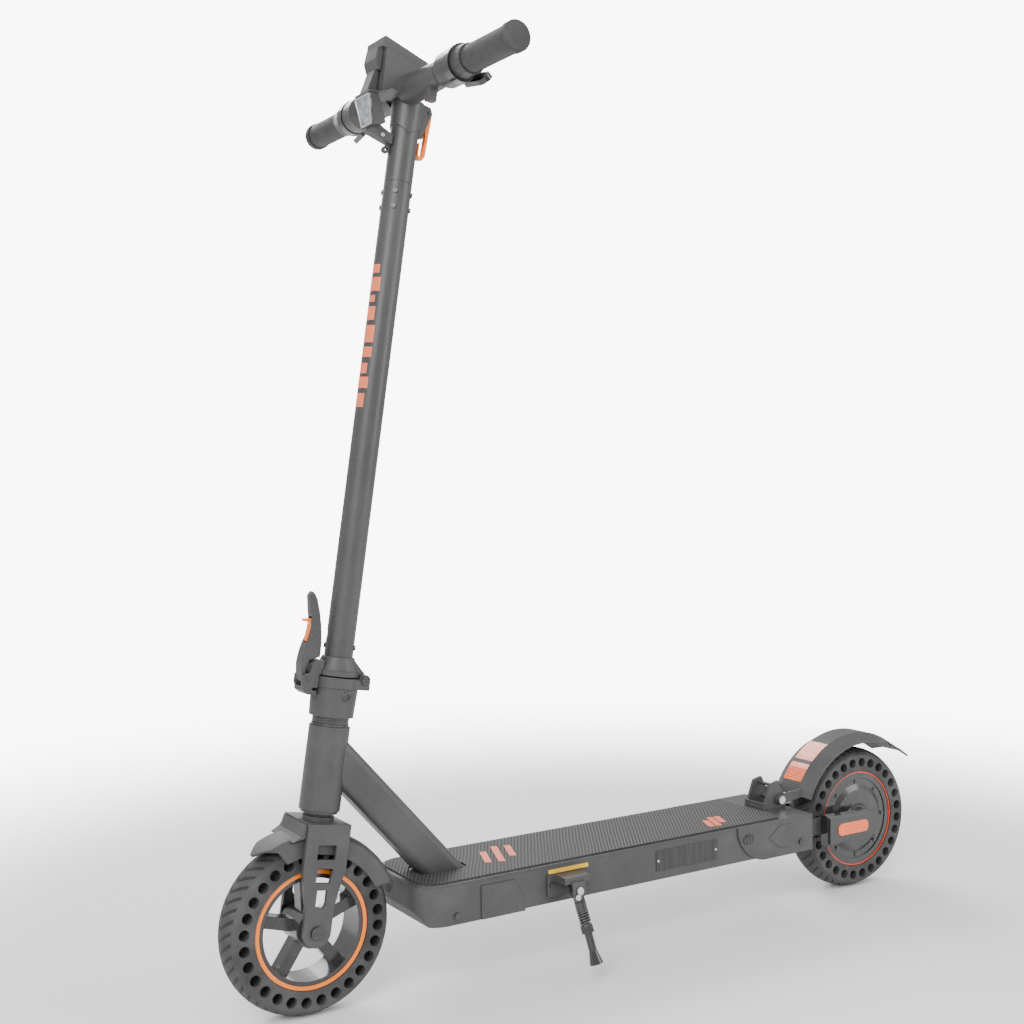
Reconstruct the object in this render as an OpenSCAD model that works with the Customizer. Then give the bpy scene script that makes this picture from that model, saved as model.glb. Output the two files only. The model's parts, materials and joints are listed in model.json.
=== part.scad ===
// Folding electric kick scooter. Millimetres, Z up, forward is -X.
// The origin is on the floor, midway between the two axles, in the centre plane.

/* [Wheels] */
// Distance between the two axles
wheelbase = 850; // [780:5:950]
// Outer diameter of both tyres
tyre_d = 200; // [190:1:206]
// Width of both tyres
tyre_w = 46; // [40:1:48]
// Diameter of the rim seat that a tyre is pressed on
rim_seat_d = 124; // [118:1:128]
// Diameter of the rim flange that carries the coloured ring
rim_flange_d = 136; // [130:1:138]
// Width of the rim barrel between its flanges
rim_barrel_w = 33; // [28:1:34]
// Number of cushioning holes through each tyre
tyre_holes = 28; // [20:1:30]
// Diameter of one cushioning hole
tyre_hole_d = 12.5; // [8:0.5:14]
// Number of spokes of the front rim
spokes = 5; // [3:1:6]

/* [Deck] */
// Width of the deck
deck_w = 133; // [120:1:170]
// Height of the deck body
deck_h = 46; // [40:1:56]
// Height of the underside of the deck above the floor
deck_z = 90; // [80:1:95]
// Forward end of the aluminium tray
tray_front = -232; // [-240:1:-200]
// Rearward end of the deck
deck_rear = 292; // [270:1:296]
// Forward end of the nose cap
nose_front = -309; // [-311:1:-295]
// Wall of the aluminium tray
tray_wall = 3; // [2:0.5:4]
// Thickness of the rubber mat
mat_t = 2; // [1:0.5:3]

/* [Steering] */
// Rake of the steering axis from upright, in degrees
rake = 9; // [6:0.5:12]
// Outer diameter of the head tube
head_tube_d = 47; // [44:1:52]
// Bottom of the head tube, along the steering axis from the axle
head_low = 131; // [129:1:135]
// Top of the head tube, along the steering axis from the axle
head_top = 226; // [215:1:228]
// Diameter of the steerer tube
steerer_d = 28.6; // [25:0.1:30]
// Depth of the down tube's section
down_tube_h = 43; // [36:1:48]
// Width of the down tube's section
down_tube_w = 39; // [30:1:44]
// Where the down tube's centre line meets the steering axis, from the axle
down_t = 198; // [190:1:204]

/* [Fork] */
// Inside distance between the fork arms
fork_gap = 60; // [58:1:62]
// Thickness of a fork arm
arm_t = 4.5; // [3:0.5:6]
// Width of the fork arm at the crown
arm_w_top = 52; // [46:1:56]
// Width of the fork arm at the axle
arm_w_low = 34; // [28:1:36]
// Diameter of the front axle
front_axle_d = 10; // [8:1:12]

/* [Stem] */
// Outer diameter of the stem tube
stem_d = 33; // [28:0.5:35]
// Distance from the axle to the split of the folding joint
split_t = 282; // [278:1:286]
// Distance of the folding pin behind the steering axis
fold_pin_s = 25.7; // [25:0.1:28]
// Diameter of the folding pin
fold_pin_d = 6; // [5:0.5:7]
// Distance from the axle to the handlebar axis
bar_t = 960.8; // [900:1:1000]
// Distance of the handlebar axis ahead of the steering axis
bar_ahead = 7; // [4:1:10]

/* [Handlebar] */
// Overall width of the handlebar
bar_w = 498; // [460:2:560]
// Outer diameter of a grip
grip_d = 30.5; // [28:0.5:32]
// Diameter of the raised cap at the end of a grip
grip_cap_d = 33; // [32:0.5:36]
// Length of a grip with its end cap
grip_len = 91; // [86:1:100]
// Diameter of the handlebar tube inside the grips
bar_tube_d = 22.2; // [20:0.1:24]
// Diameter of a control housing
control_d = 40; // [38:1:44]

/* [Rear end] */
// Diameter of the motor's fixed axle
motor_axle_d = 12; // [10:1:14]
// Inside distance between the rear stays
stay_gap = 64; // [62:1:68]
// Thickness of a rear stay
stay_t = 6; // [4:0.5:8]
// Distance of the outside of a stay cap from the centre plane
cap_reach = 54; // [50:1:60]
// Radius of the rear fender's crown about the axle
fender_r = 124; // [122:1:128]
// Width of the rear fender
fender_w = 70; // [60:1:74]

/* [Kickstand] */
// Outward lean of the kickstand leg, in degrees
kick_splay = 13; // [8:1:18]
// Distance from the kickstand's pivot to its foot
kick_len = 88; // [75:1:92]

/* [Clearances] */
// Radial clearance of a pin or an axle in its bore
pin_fit = 0.05; // [0.02:0.01:0.10]
// Gap between pieces that move past each other
gap = 0.5; // [0.3:0.1:0.8]

/* [Hidden] */
$fn = 64;
eps = 0.01;
tyre_r = tyre_d / 2;
half_base = wheelbase / 2;
deck_top = deck_z + deck_h;
half_deck = deck_w / 2;
lid_t = 2.5;
arm_out = fork_gap / 2 + arm_t;
crown_t = tyre_r + 20;
crown_plate = 5;
ring_t = 1.2;
flange_t = 4;
half_barrel = rim_barrel_w / 2;
flange_out = half_barrel + flange_t;
bolt_d = 5;
screw_head_d = 8;
bar_r = bar_tube_d / 2;
sleeve_r = bar_r + 1;
control_out = bar_w / 2 - grip_len;
control_in = control_out - 61;
ring_w = 11.5;
ring_in = control_out - 18 - ring_w;
grip_cap_len = 10;
fender_pin_x = 277;
fender_pin_z = deck_top + 12;
fender_pin_d = 6;
catch_half = 19;
catch_cheek = 4;
catch_bar_d = 4.5;
fold_pin_t = split_t - 0.7;
knuckle_r = 6.5;
knuckle_half = 16;
base_low = split_t - 45;
plate_low = split_t - 12;
plate_front = -25.5;
block_low = split_t + 1.5;
link_s = -21.7;
link_half = 12.5;
hook_pivot_s = 25.3;
hook_pivot_t = bar_t - 16.3;
lever_pivot_s = -40;
lever_pivot_t = split_t - 4;
latch_pivot_s = -41.5;
latch_pivot_t = split_t + 39.5;
kick_pivot = [-112, -half_deck - 22, deck_z + 16];
kick_back = 9;
foot_x = -252;
down_slope = atan2(side(0, down_t).y - deck_top, foot_x - side(0, down_t).x);
nose_screw_x = -264;
nose_screw_z = deck_z + 8;
tail_screw_z = deck_z + 11;
steerer_top = split_t - 12;
port_x = 177;
port_z = deck_z + 28;
port_w = 17;
port_h = 11;
hub_half = 24;
kick_screw_x = [-134, -88];
kick_screw_z = deck_z + 22;
tail_screw_x = 271;
tube_top_t = bar_t - 32.5;
paddle_turn = -38;
tube_low = split_t + 5.8;
neck_low = bar_t - 50;
dash_lean = 14.7;
sleeve_t = bar_t - 106;
fold_angle = 95;
hook_seat = [49.6, -3.2];
fold_pin = side(fold_pin_s, fold_pin_t);
seat_before = side(hook_pivot_s, hook_pivot_t) + turned(hook_seat, rake) - fold_pin;
catch_bar_at = fold_pin + turned(seat_before, fold_angle);
cap_screw_d = 6;

// Turns a point of the side plane, drawn as [x, z], so that its top moves rearward
function turned(p, a) = [p.x * cos(a) + p.y * sin(a), p.y * cos(a) - p.x * sin(a)];

// Place in the side plane of a point of the steering frame
function side(s, t) = [-half_base, tyre_r] + turned([s, t], rake);

// ---- Frames of reference ----

// Frame of the front axle: local Z runs along the axle
module at_front_wheel() {
    translate([-half_base, 0, tyre_r]) rotate([90, 0, 0]) children();
}

// Frame of the rear axle: local Z runs along the axle
module at_rear_wheel() {
    translate([half_base, 0, tyre_r]) rotate([90, 0, 0]) children();
}

// Frame on the steering axis: local X points rearward, local Z up the axis, t from the axle
module on_steering(t = 0) {
    translate([-half_base, 0, tyre_r]) rotate([0, rake, 0]) translate([0, 0, t]) children();
}

// Extrudes an outline drawn as [s, t] in the side plane of the steering frame, across Y
module across(width, y = 0) {
    translate([0, y + width / 2, 0]) rotate([90, 0, 0]) linear_extrude(width) children();
}

// Frame of the handlebar: local Z points to the near side, local X rearward
module on_bar() {
    on_steering(bar_t) translate([-bar_ahead, 0, 0]) rotate([90, 0, 0]) children();
}

// Frame of the kickstand's pivot: local Y is the pivot's axis, local -Z runs out and down
module at_kickstand() {
    translate(kick_pivot) rotate([-kick_splay, 0, 0]) children();
}

// The same piece on both sides of the centre plane
module both_sides() {
    children();
    mirror([0, 1, 0]) children();
}

// A cylinder along Y
module rod_y(d, len, y = 0) {
    translate([0, y + len / 2, 0]) rotate([90, 0, 0]) cylinder(d = d, h = len);
}

// A box given by its lowest corner and its highest corner
module box_between(low, high) {
    translate(low) cube(high - low);
}

// Rounded rectangle of a given size, centred, with exact corner arcs
module rounded_rect(w, h, r) {
    square([w - 2 * r, h], center = true);
    square([w, h - 2 * r], center = true);
    for (i = [-1, 1], j = [-1, 1])
        translate([i * (w / 2 - r), j * (h / 2 - r)]) circle(r = r);
}

// ---- Frame and deck ----

module head_tube() {
    color("#2b2b2c") on_steering() difference() {
        translate([0, 0, head_low]) cylinder(d = head_tube_d, h = head_top - head_low);
        translate([0, 0, head_low - 1]) cylinder(d = head_tube_d - 9, h = head_top - head_low + 2);
    }
}

// Bearing cups and rings at both ends of the head tube
module headset() {
    cup_in = head_tube_d - 9;
    color("#9a9da1") on_steering() {
        for (end = [[head_low, -1], [head_top, 1]]) translate([0, 0, end[0]])
            mirror([0, 0, end[1] < 0 ? 1 : 0]) {
                difference() {
                    union() {
                        cylinder(d = head_tube_d - 4, h = 3);
                        translate([0, 0, -9]) cylinder(d = cup_in, h = 9 + eps);
                    }
                    translate([0, 0, -10]) cylinder(d = cup_in - 3, h = 20);
                }
                translate([0, 0, -8]) difference() {
                    cylinder(d = cup_in - 3, h = 8);
                    translate([0, 0, -1]) cylinder(d = steerer_d + 2 * pin_fit, h = 10);
                }
            }
    }
}

// Sloping tube that joins the head tube to the deck
module down_tube() {
    module section(w, h) {
        rotate([0, 90, 0]) linear_extrude(560, center = true) rounded_rect(h, w, 10);
    }
    color("#2b2b2c") difference() {
        intersection() {
            translate([foot_x, 0, deck_top]) rotate([0, down_slope, 0]) difference() {
                section(down_tube_w, down_tube_h);
                section(down_tube_w - 8, down_tube_h - 8);
            }
            box_between([-half_base + 10, -60, deck_top - lid_t], [0, 60, 400]);
        }
        on_steering(head_low - 40) cylinder(d = head_tube_d, h = 200);
        on_steering(head_low - 200) translate([-60, -60, 0]) cube([60, 120, 600]);
    }
}

// Outline of the deck seen from above, from the nose to x_end
module deck_plan(x_end, inset = 0) {
    half = half_deck - inset;
    front = nose_front + inset;
    corner = 34 - inset;
    intersection() {
        union() {
            translate([front + corner, -half]) square([x_end - front - corner, 2 * half]);
            translate([front, -half + corner]) square([corner + 1, 2 * (half - corner)]);
            for (s = [-1, 1])
                translate([front + corner, s * (half - corner)]) circle(r = corner);
        }
        translate([front - 1, -half]) square([x_end - front + 1, 2 * half]);
    }
}

// Extruded aluminium tray with an open top
module deck_tray() {
    color("#242425") difference() {
        box_between([tray_front, -half_deck, deck_z], [deck_rear - 4, half_deck, deck_top - lid_t]);
        box_between([tray_front - 1, -half_deck + tray_wall, deck_z + tray_wall],
            [deck_rear - 10, half_deck - tray_wall, deck_top]);
        translate([port_x, -half_deck - 1, port_z]) rotate([-90, 0, 0]) cylinder(d = 9, h = 20);
        both_sides() box_between([deck_rear - 12, -stay_gap / 2 - stay_t, deck_z + tray_wall],
            [deck_rear, -stay_gap / 2, deck_top]);
        deck_screw_holes(bolt_d);
    }
}

// Bores of the screws that enter the sides of the deck
module deck_screw_holes(d) {
    for (x = kick_screw_x) translate([x, -half_deck - 20, kick_screw_z]) rotate([-90, 0, 0])
        cylinder(d = d, h = 40);
    both_sides() translate([tail_screw_x, -half_deck - 20, tail_screw_z]) rotate([-90, 0, 0])
        cylinder(d = d, h = 40);
}

module deck_lid() {
    color("#242425") difference() {
        translate([0, 0, deck_top - lid_t]) linear_extrude(lid_t) deck_plan(deck_rear, 0);
        translate([foot_x, 0, deck_top]) rotate([0, down_slope, 0]) rotate([0, 90, 0])
            linear_extrude(60, center = true) rounded_rect(down_tube_h, down_tube_w, 10);
    }
}

// Rubber mat, cut round the foot of the down tube
module deck_mat() {
    mat_rear = 236;
    color("#1d1d1e") difference() {
        translate([0, 0, deck_top]) linear_extrude(mat_t) deck_plan(mat_rear, 5);
        translate([foot_x, 0, deck_top]) rotate([0, down_slope, 0]) rotate([0, 90, 0])
            linear_extrude(60, center = true)
                rounded_rect(down_tube_h + 6, down_tube_w + 6, 12);
    }
}

// Moulded cap that closes the front of the tray, chamfered under its nose
module nose_cap() {
    tongue_rear = -172;
    wall = 3.5;
    module shell(inset) {
        intersection() {
            translate([0, 0, deck_z + inset - 2]) linear_extrude(deck_h - lid_t - inset + 2)
                deck_plan(tray_front, inset);
            translate([0, half_deck + 1, 0]) rotate([90, 0, 0]) linear_extrude(deck_w + 2)
                polygon([[nose_front - 5 + inset, deck_z + 22], [nose_front + 12 + inset, deck_z - 2],
                    [tray_front, deck_z - 2], [tray_front, deck_top - lid_t],
                    [nose_front - 5 + inset, deck_top - lid_t]]);
        }
    }
    color("#2d2d2e") difference() {
        union() {
            shell(0);
            intersection() {
                box_between([tray_front, -half_deck - 1.5, deck_z - 2],
                    [tongue_rear, half_deck + 1.5, deck_top - lid_t - 6]);
                translate([tray_front, half_deck + 2, deck_z - 2]) rotate([90, 0, 0])
                    linear_extrude(deck_w + 4) intersection() {
                        circle(r = tongue_rear - tray_front, $fn = 96);
                        square(tongue_rear - tray_front);
                    }
            }
        }
        difference() {
            shell(wall);
            box_between([nose_front, -half_deck, 0], [nose_front + 8, half_deck, 200]);
        }
        box_between([tray_front - eps, -half_deck, deck_z], [0, half_deck, deck_top]);
        translate([nose_screw_x, -half_deck - 1, nose_screw_z]) rotate([-90, 0, 0])
            cylinder(d = bolt_d, h = deck_w + 2);
    }
}

module battery() {
    color("#3a5fa8") box_between([-200, -52, deck_z + tray_wall + 0.3],
        [62, 52, deck_top - lid_t - 4]);
}

// Motor controller on its finned plate
module controller() {
    color("#b9bcc0") {
        box_between([84, -34, deck_z + tray_wall + 0.3], [160, 34, deck_z + tray_wall + 4]);
        box_between([86, -32, deck_z + tray_wall + 4], [158, 32, deck_top - lid_t - 8]);
    }
}

// Insulated bundle inside the tray from the battery to the controller and the motor
module wiring() {
    lead_z = deck_z + tray_wall + 12;
    color("#c23b2a") {
        translate([62.3, 12, lead_z]) rotate([0, 90, 0]) cylinder(d = 6, h = 23.4, $fn = 24);
        translate([62.3, -12, lead_z]) rotate([0, 90, 0]) cylinder(d = 6, h = 23.4, $fn = 24);
        translate([158.3, 0, lead_z]) rotate([0, 90, 0]) cylinder(d = 8, h = 118, $fn = 24);
    }
}

// Moulded side covers at the tail, with a chevron in relief and a screw hole
module tail_covers() {
    cover_front = 208;
    cover_t = 2;
    color("#2d2d2e") both_sides() difference() {
        union() {
            box_between([cover_front, -half_deck - cover_t, deck_z - 3],
                [deck_rear, -half_deck, deck_top]);
            translate([cover_front, -half_deck, deck_z - 3]) rotate([90, 0, 0])
                linear_extrude(cover_t) intersection() {
                    translate([0, deck_h + 3]) circle(r = deck_h + 3, $fn = 96);
                    translate([-60, 0]) square([60 + eps, deck_h + 3]);
                }
            box_between([deck_rear - 3.8, -half_deck, deck_z], [deck_rear, -stay_gap / 2 - stay_t - 0.3,
                deck_top - lid_t]);
            translate([245, -half_deck - cover_t, deck_z + 24]) rotate([90, 0, 0])
                linear_extrude(1) polygon([[-32, 0], [-12, 15], [8, 15], [-10, 0], [8, -15],
                    [-12, -15]]);
        }
        deck_screw_holes(bolt_d);
        translate([port_x, -half_deck + 1, port_z]) rotate([90, 0, 0])
            linear_extrude(10) rounded_rect(port_w + 1, port_h + 1, port_h / 2);
    }
}

// Steel stays that carry the fixed axle of the motor
module rear_stays() {
    stay_h = 34;
    stay_low = deck_z + tray_wall + 0.3;
    color("#2b2b2c") both_sides() difference() {
        union() {
            translate([half_base, -stay_gap / 2, tyre_r]) rotate([90, 0, 0])
                cylinder(d = stay_h, h = stay_t);
            box_between([deck_rear - 11, -stay_gap / 2 - stay_t, stay_low],
                [half_base, -stay_gap / 2, tyre_r + stay_h / 2]);
            box_between([deck_rear - 60, -stay_gap / 2 - stay_t, stay_low],
                [deck_rear - 10.3, -stay_gap / 2, deck_top - lid_t - 3]);
        }
        translate([half_base, 0, tyre_r]) rotate([90, 0, 0])
            cylinder(d = motor_axle_d + 2 * pin_fit, h = 100);
    }
}

// Rounded caps that cover the axle nuts
module stay_caps() {
    cap_front = 338;
    cap_h = 42;
    cap_in = stay_gap / 2 + stay_t;
    module outline(grow) {
        intersection() {
            union() {
                translate([half_base, 0]) circle(d = cap_h - 8 + 2 * grow);
                polygon([[cap_front - grow, -cap_h / 2 - grow], [half_base, -cap_h / 2 + 4 - grow],
                    [half_base, cap_h / 2 - 4 + grow], [cap_front - grow, cap_h / 2 + grow]]);
            }
            translate([cap_front - grow, -cap_h]) square([200, 2 * cap_h]);
        }
    }
    color("#1f1f20") both_sides() translate([0, -cap_in, tyre_r]) rotate([90, 0, 0]) difference() {
        union() {
            linear_extrude(cap_reach - cap_in - 3) outline(0);
            linear_extrude(cap_reach - cap_in) outline(-2.5);
        }
        translate([half_base, 0, -1]) cylinder(d = 25, h = cap_reach - cap_in - 2);
        translate([366, 0, -1]) cube([40, 26, 2 * (cap_reach - cap_in - 4)], center = true);
    }
}

module charge_port() {
    color("#111111") translate([port_x, -half_deck + tray_wall + 12, port_z]) rotate([90, 0, 0])
        difference() {
            union() {
                cylinder(d = 14, h = 12);
                cylinder(d = 9 - 2 * pin_fit, h = 12 + tray_wall);
            }
            translate([0, 0, 5]) cylinder(d = 5.5, h = 20);
        }
}

// Oval rubber plug, with the round hinge at its top, over the charging socket
module port_cap() {
    color("#151515") {
        translate([port_x, -half_deck - 0.3, port_z]) rotate([90, 0, 0])
            linear_extrude(2) rounded_rect(port_w, port_h, port_h / 2 - eps);
        translate([port_x - 4, -half_deck - 3.1, port_z + port_h / 2 - 0.3]) rotate([0, 90, 0])
            cylinder(d = 2.2, h = 8);
    }
}

// ---- Kickstand ----

module kick_bracket() {
    plate_t = 3;
    color("#1f1f20") difference() {
        union() {
            box_between([-141, -half_deck - plate_t, deck_z + 8], [-83, -half_deck, deck_top - 12]);
            box_between([-130, -half_deck - 24, deck_z + 26], [-94, -half_deck - plate_t + eps,
                deck_top - 12]);
            at_kickstand() for (s = [-1, 1]) {
                rod_y(18, 3, s * 5);
                translate([-9, s * 5 - 1.5, 0]) cube([18, 3, 11]);
            }
        }
        at_kickstand() rod_y(fender_pin_d + 2 * pin_fit, 40);
        deck_screw_holes(bolt_d);
    }
}

// Leg with its collar, nut and flared foot; it swings back on the pivot
module kick_leg() {
    color("#161617") at_kickstand() rotate([0, -kick_back, 0]) difference() {
        union() {
            rod_y(15, 6);
            translate([-6, -3, -16]) cube([12, 6, 16]);
            translate([0, 0, -24]) cylinder(d = 14, h = 11);
            translate([0, 0, -kick_len + 4]) cylinder(d = 10, h = kick_len - 20);
            translate([0, 0, -50]) cylinder(d = 17, h = 9, $fn = 6);
            translate([0, 0, -kick_len]) cylinder(d1 = 17, d2 = 10, h = 16);
        }
        rod_y(fender_pin_d + 2 * pin_fit, 20);
    }
}

module kick_spring() {
    coils = 6;
    color("#3c3c3d") at_kickstand() rotate([0, -kick_back, 0]) difference() {
        union() {
            translate([0, 0, -40.8]) cylinder(d = 12, h = 16.6);
            for (i = [0 : coils - 1]) translate([0, 0, -39.5 + i * 2.8])
                rotate_extrude() translate([6, 0]) circle(r = 1.2, $fn = 24);
        }
        translate([0, 0, -60]) cylinder(d = 10, h = 60);
    }
}

// ---- Tail hardware ----

// Bracket that hinges the rear fender and whose bar takes the bag hook when folded
module tail_catch() {
    color("#1a1a1b") difference() {
        union() {
            both_sides() translate([0, -catch_half + catch_cheek, 0]) rotate([90, 0, 0])
                linear_extrude(catch_cheek) difference() {
                    union() {
                        polygon([[248, deck_top], [262, deck_top + 35], [276, deck_top + 38],
                            [286, deck_top + 20], [289, deck_top]]);
                        translate(catch_bar_at) circle(r = 5);
                    }
                    translate([fender_pin_x, fender_pin_z]) circle(d = fender_pin_d + 2 * pin_fit);
                }
            box_between([248, -catch_half, deck_top], [289, catch_half, deck_top + 4]);
            box_between([248.5, -catch_half, deck_top], [252, catch_half, deck_top + 9]);
            translate([catch_bar_at.x, 0, catch_bar_at.y]) rod_y(catch_bar_d, 2 * catch_half);
        }
    }
}

// Pins of the fender hinge and of the kickstand
module hinge_pins() {
    color("#c9ccd0") {
        translate([fender_pin_x, 0, fender_pin_z]) {
            rod_y(fender_pin_d, 2 * catch_half + 10);
            both_sides() rod_y(11, 2.5, -catch_half - 5 - 1.25);
        }
        at_kickstand() {
            rod_y(fender_pin_d, 14);
            rod_y(9, 2, -7.6);
            translate([-4, 0, -7]) rod_y(7, 1.6, -7.4);
        }
    }
}

// Torsion spring round the fender's pin
module fender_spring() {
    coils = 5;
    color("#8c8f93") translate([fender_pin_x, 0, fender_pin_z]) rotate([90, 0, 0])
        translate([0, 0, -5.6]) difference() {
            union() {
                translate([0, 0, -1.2]) cylinder(r = 4.5, h = 13.6);
                for (i = [0 : coils - 1]) translate([0, 0, i * 2.8])
                    rotate_extrude() translate([4.5, 0]) circle(r = 1.2, $fn = 24);
            }
            translate([0, 0, -10]) cylinder(r = fender_pin_d / 2 + pin_fit, h = 30);
        }
}

// Button-head screws of the kickstand bracket, the nose cap and the tail covers
module deck_screws() {
    module screw() {
        rotate([90, 0, 0]) {
            cylinder(d = screw_head_d, h = 2);
            translate([0, 0, -6]) cylinder(d = bolt_d - 2 * pin_fit, h = 6 + eps);
        }
    }
    color("#3c3d40") {
        for (x = kick_screw_x) translate([x, -half_deck - 3, kick_screw_z]) screw();
        both_sides() translate([tail_screw_x, -half_deck - 2, tail_screw_z]) screw();
        both_sides() translate([nose_screw_x, -half_deck, nose_screw_z]) screw();
    }
}

// ---- Rear wheel ----

module motor_axle() {
    axle_len = 2 * cap_reach - 10;
    color("#a7aaae") at_rear_wheel() difference() {
        union() {
            cylinder(d = motor_axle_d, h = axle_len, center = true);
            cylinder(d = 24, h = 30, center = true);
        }
        translate([0, 0, -100]) cylinder(d = 5, h = 90);
    }
}

module axle_nuts() {
    nut_in = stay_gap / 2 + stay_t;
    color("#8c8f93") both_sides() at_rear_wheel() translate([0, 0, nut_in]) difference() {
        union() {
            cylinder(d = 22, h = 1.5);
            translate([0, 0, 1.5]) cylinder(d = 19, h = 7, $fn = 6);
        }
        translate([0, 0, -1]) cylinder(d = motor_axle_d, h = 20);
    }
}

// Fixed laminated core with its windings
module stator() {
    teeth = 18;
    color("#b06a35") at_rear_wheel() linear_extrude(24, center = true) difference() {
        union() {
            circle(d = 62);
            for (i = [0 : teeth - 1]) rotate([0, 0, (i + 0.5) * 360 / teeth])
                translate([37, 0]) square([16, 6], center = true);
        }
        circle(d = 24);
    }
}

module magnets() {
    color("#6e7176") at_rear_wheel() difference() {
        cylinder(d = 96, h = 26, center = true);
        cylinder(d = 92, h = 30, center = true);
    }
}

// Spinning shell with the tyre's seat and two flanges
module motor_shell() {
    color("#1c1c1d") at_rear_wheel() difference() {
        union() {
            cylinder(d = rim_seat_d, h = 2 * flange_out, center = true);
            for (s = [-1, 1]) translate([0, 0, s * (half_barrel + flange_t / 2)])
                cylinder(d = rim_flange_d, h = flange_t, center = true);
        }
        cylinder(d = 96, h = 26, center = true);
        for (s = [-1, 1]) translate([0, 0, s * (13 + 10)]) cylinder(d = 116, h = 20, center = true);
    }
}

// Domed covers that close the motor on both sides
module motor_covers() {
    cover_screws = 8;
    color("#1a1a1b") both_sides() at_rear_wheel() difference() {
        union() {
            translate([0, 0, 13]) cylinder(d = 116, h = 6);
            translate([0, 0, 19]) cylinder(d1 = 98, d2 = 84, h = 4);
            translate([0, 0, 23]) cylinder(d1 = 46, d2 = 38, h = 5);
            for (i = [0 : cover_screws - 1]) rotate([0, 0, i * 360 / cover_screws])
                translate([53, 0, 19]) cylinder(d = 5.5, h = 1.6, $fn = 24);
        }
        translate([0, 0, 10]) cylinder(d = 28, h = 9);
        cylinder(d = motor_axle_d + 2, h = 60);
        translate([0, 0, 12]) cylinder(d = 88, h = 5);
    }
}

// Deep-groove bearings between the fixed axle and the covers
module motor_bearings() {
    color("#d4d6d8") both_sides() at_rear_wheel() translate([0, 0, 17]) difference() {
        cylinder(d = 28, h = 2);
        cylinder(d = motor_axle_d + 2 * pin_fit, h = 30, center = true);
    }
}

// Solid tyre: round crown, flat walls, a seat for the rim and a row of holes
module tyre() {
    crown_r = 34;
    hole_at = (rim_flange_d + tyre_d) / 4 - 3;
    difference() {
        rotate_extrude($fn = 128) difference() {
            intersection() {
                translate([rim_seat_d / 2, -tyre_w / 2])
                    square([tyre_r - rim_seat_d / 2, tyre_w]);
                translate([tyre_r - crown_r, 0]) circle(r = crown_r, $fn = 96);
            }
            for (s = [-1, 1]) translate([0, s * (half_barrel + 20)])
                square([rim_flange_d, 40], center = true);
        }
        for (i = [0 : tyre_holes - 1]) rotate([0, 0, (i + 0.5) * 360 / tyre_holes])
            translate([hole_at, 0, 0]) cylinder(d = tyre_hole_d, h = tyre_w + 2, center = true, $fn = 32);
    }
}

// Coloured rings on the outer faces of the rim flanges
module rings(width) {
    for (s = [-1, 1]) translate([0, 0, s * (flange_out + ring_t / 2)]) difference() {
        cylinder(d = rim_flange_d - 1, h = ring_t, center = true, $fn = 128);
        cylinder(d = rim_flange_d - 1 - 2 * width, h = 10, center = true, $fn = 128);
    }
}

module rear_tyre() {
    color("#1b1b1c") at_rear_wheel() tyre();
}

module rear_rings() {
    color("#ff5a20") at_rear_wheel() rings(1.6);
}

// ---- Rear fender ----

// Folded section of a fender: flat crown and sloping sides, drawn as [radius, across]
module fender_section(r, w, flat, drop, t) {
    polygon([[r - drop, -w / 2], [r, -flat / 2], [r, flat / 2], [r - drop, w / 2],
        [r - drop - t, w / 2], [r - t, flat / 2 - t / 2], [r - t, -flat / 2 + t / 2],
        [r - drop - t, -w / 2]]);
}

module rear_fender() {
    root_a = 157;
    tail_a = 60;
    t = 3;
    lug_y = catch_half + 0.4;
    color("#2a2a2b") difference() {
        union() {
            translate([half_base, 0, tyre_r]) rotate([90, 0, 0])
                rotate([0, 0, tail_a]) rotate_extrude(angle = root_a - tail_a, $fn = 128)
                    fender_section(fender_r, fender_w, 34, 10, t);
            translate([half_base, 0, tyre_r]) rotate([90, 0, 0]) rotate([0, 0, tail_a])
                rotate([90, 0, 0]) linear_extrude(38)
                    fender_section(fender_r, fender_w, 34, 6, t);
            both_sides() hull() {
                translate([fender_pin_x, 0, fender_pin_z]) rod_y(14, 4, -lug_y - 2);
                translate([half_base - fender_r + 12, 0, deck_top + 16]) rod_y(12, 4, -lug_y - 2);
            }
        }
        translate([fender_pin_x, 0, fender_pin_z]) rod_y(fender_pin_d + 2 * pin_fit, 100);
    }
}

// ---- Fork and front wheel ----

// Outline of a fork arm as [s, t], closed by an arc under the axle
module arm_outline(inset = 0) {
    top = crown_t - inset;
    wide = arm_w_top / 2 - inset;
    low = arm_w_low / 2 - inset;
    polygon([[-wide, top], [-wide, 66], [-low, 28], [-low, 0], [low, 0], [low, 28],
        [wide - 3, 60], [wide, 67], [wide, top]]);
    intersection() {
        circle(r = low, $fn = 64);
        translate([-low, -low]) square([2 * low, low + 1]);
    }
}

// Windows in the web of a fork arm
module arm_windows() {
    translate([-11, crown_t - 39]) square([22, 16]);
    polygon([[-9, crown_t - 65], [8, crown_t - 65], [10, crown_t - 49], [-9, crown_t - 49]]);
    translate([-6, 32]) square([12, 15]);
    translate([0, 32]) circle(r = 6);
}

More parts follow.
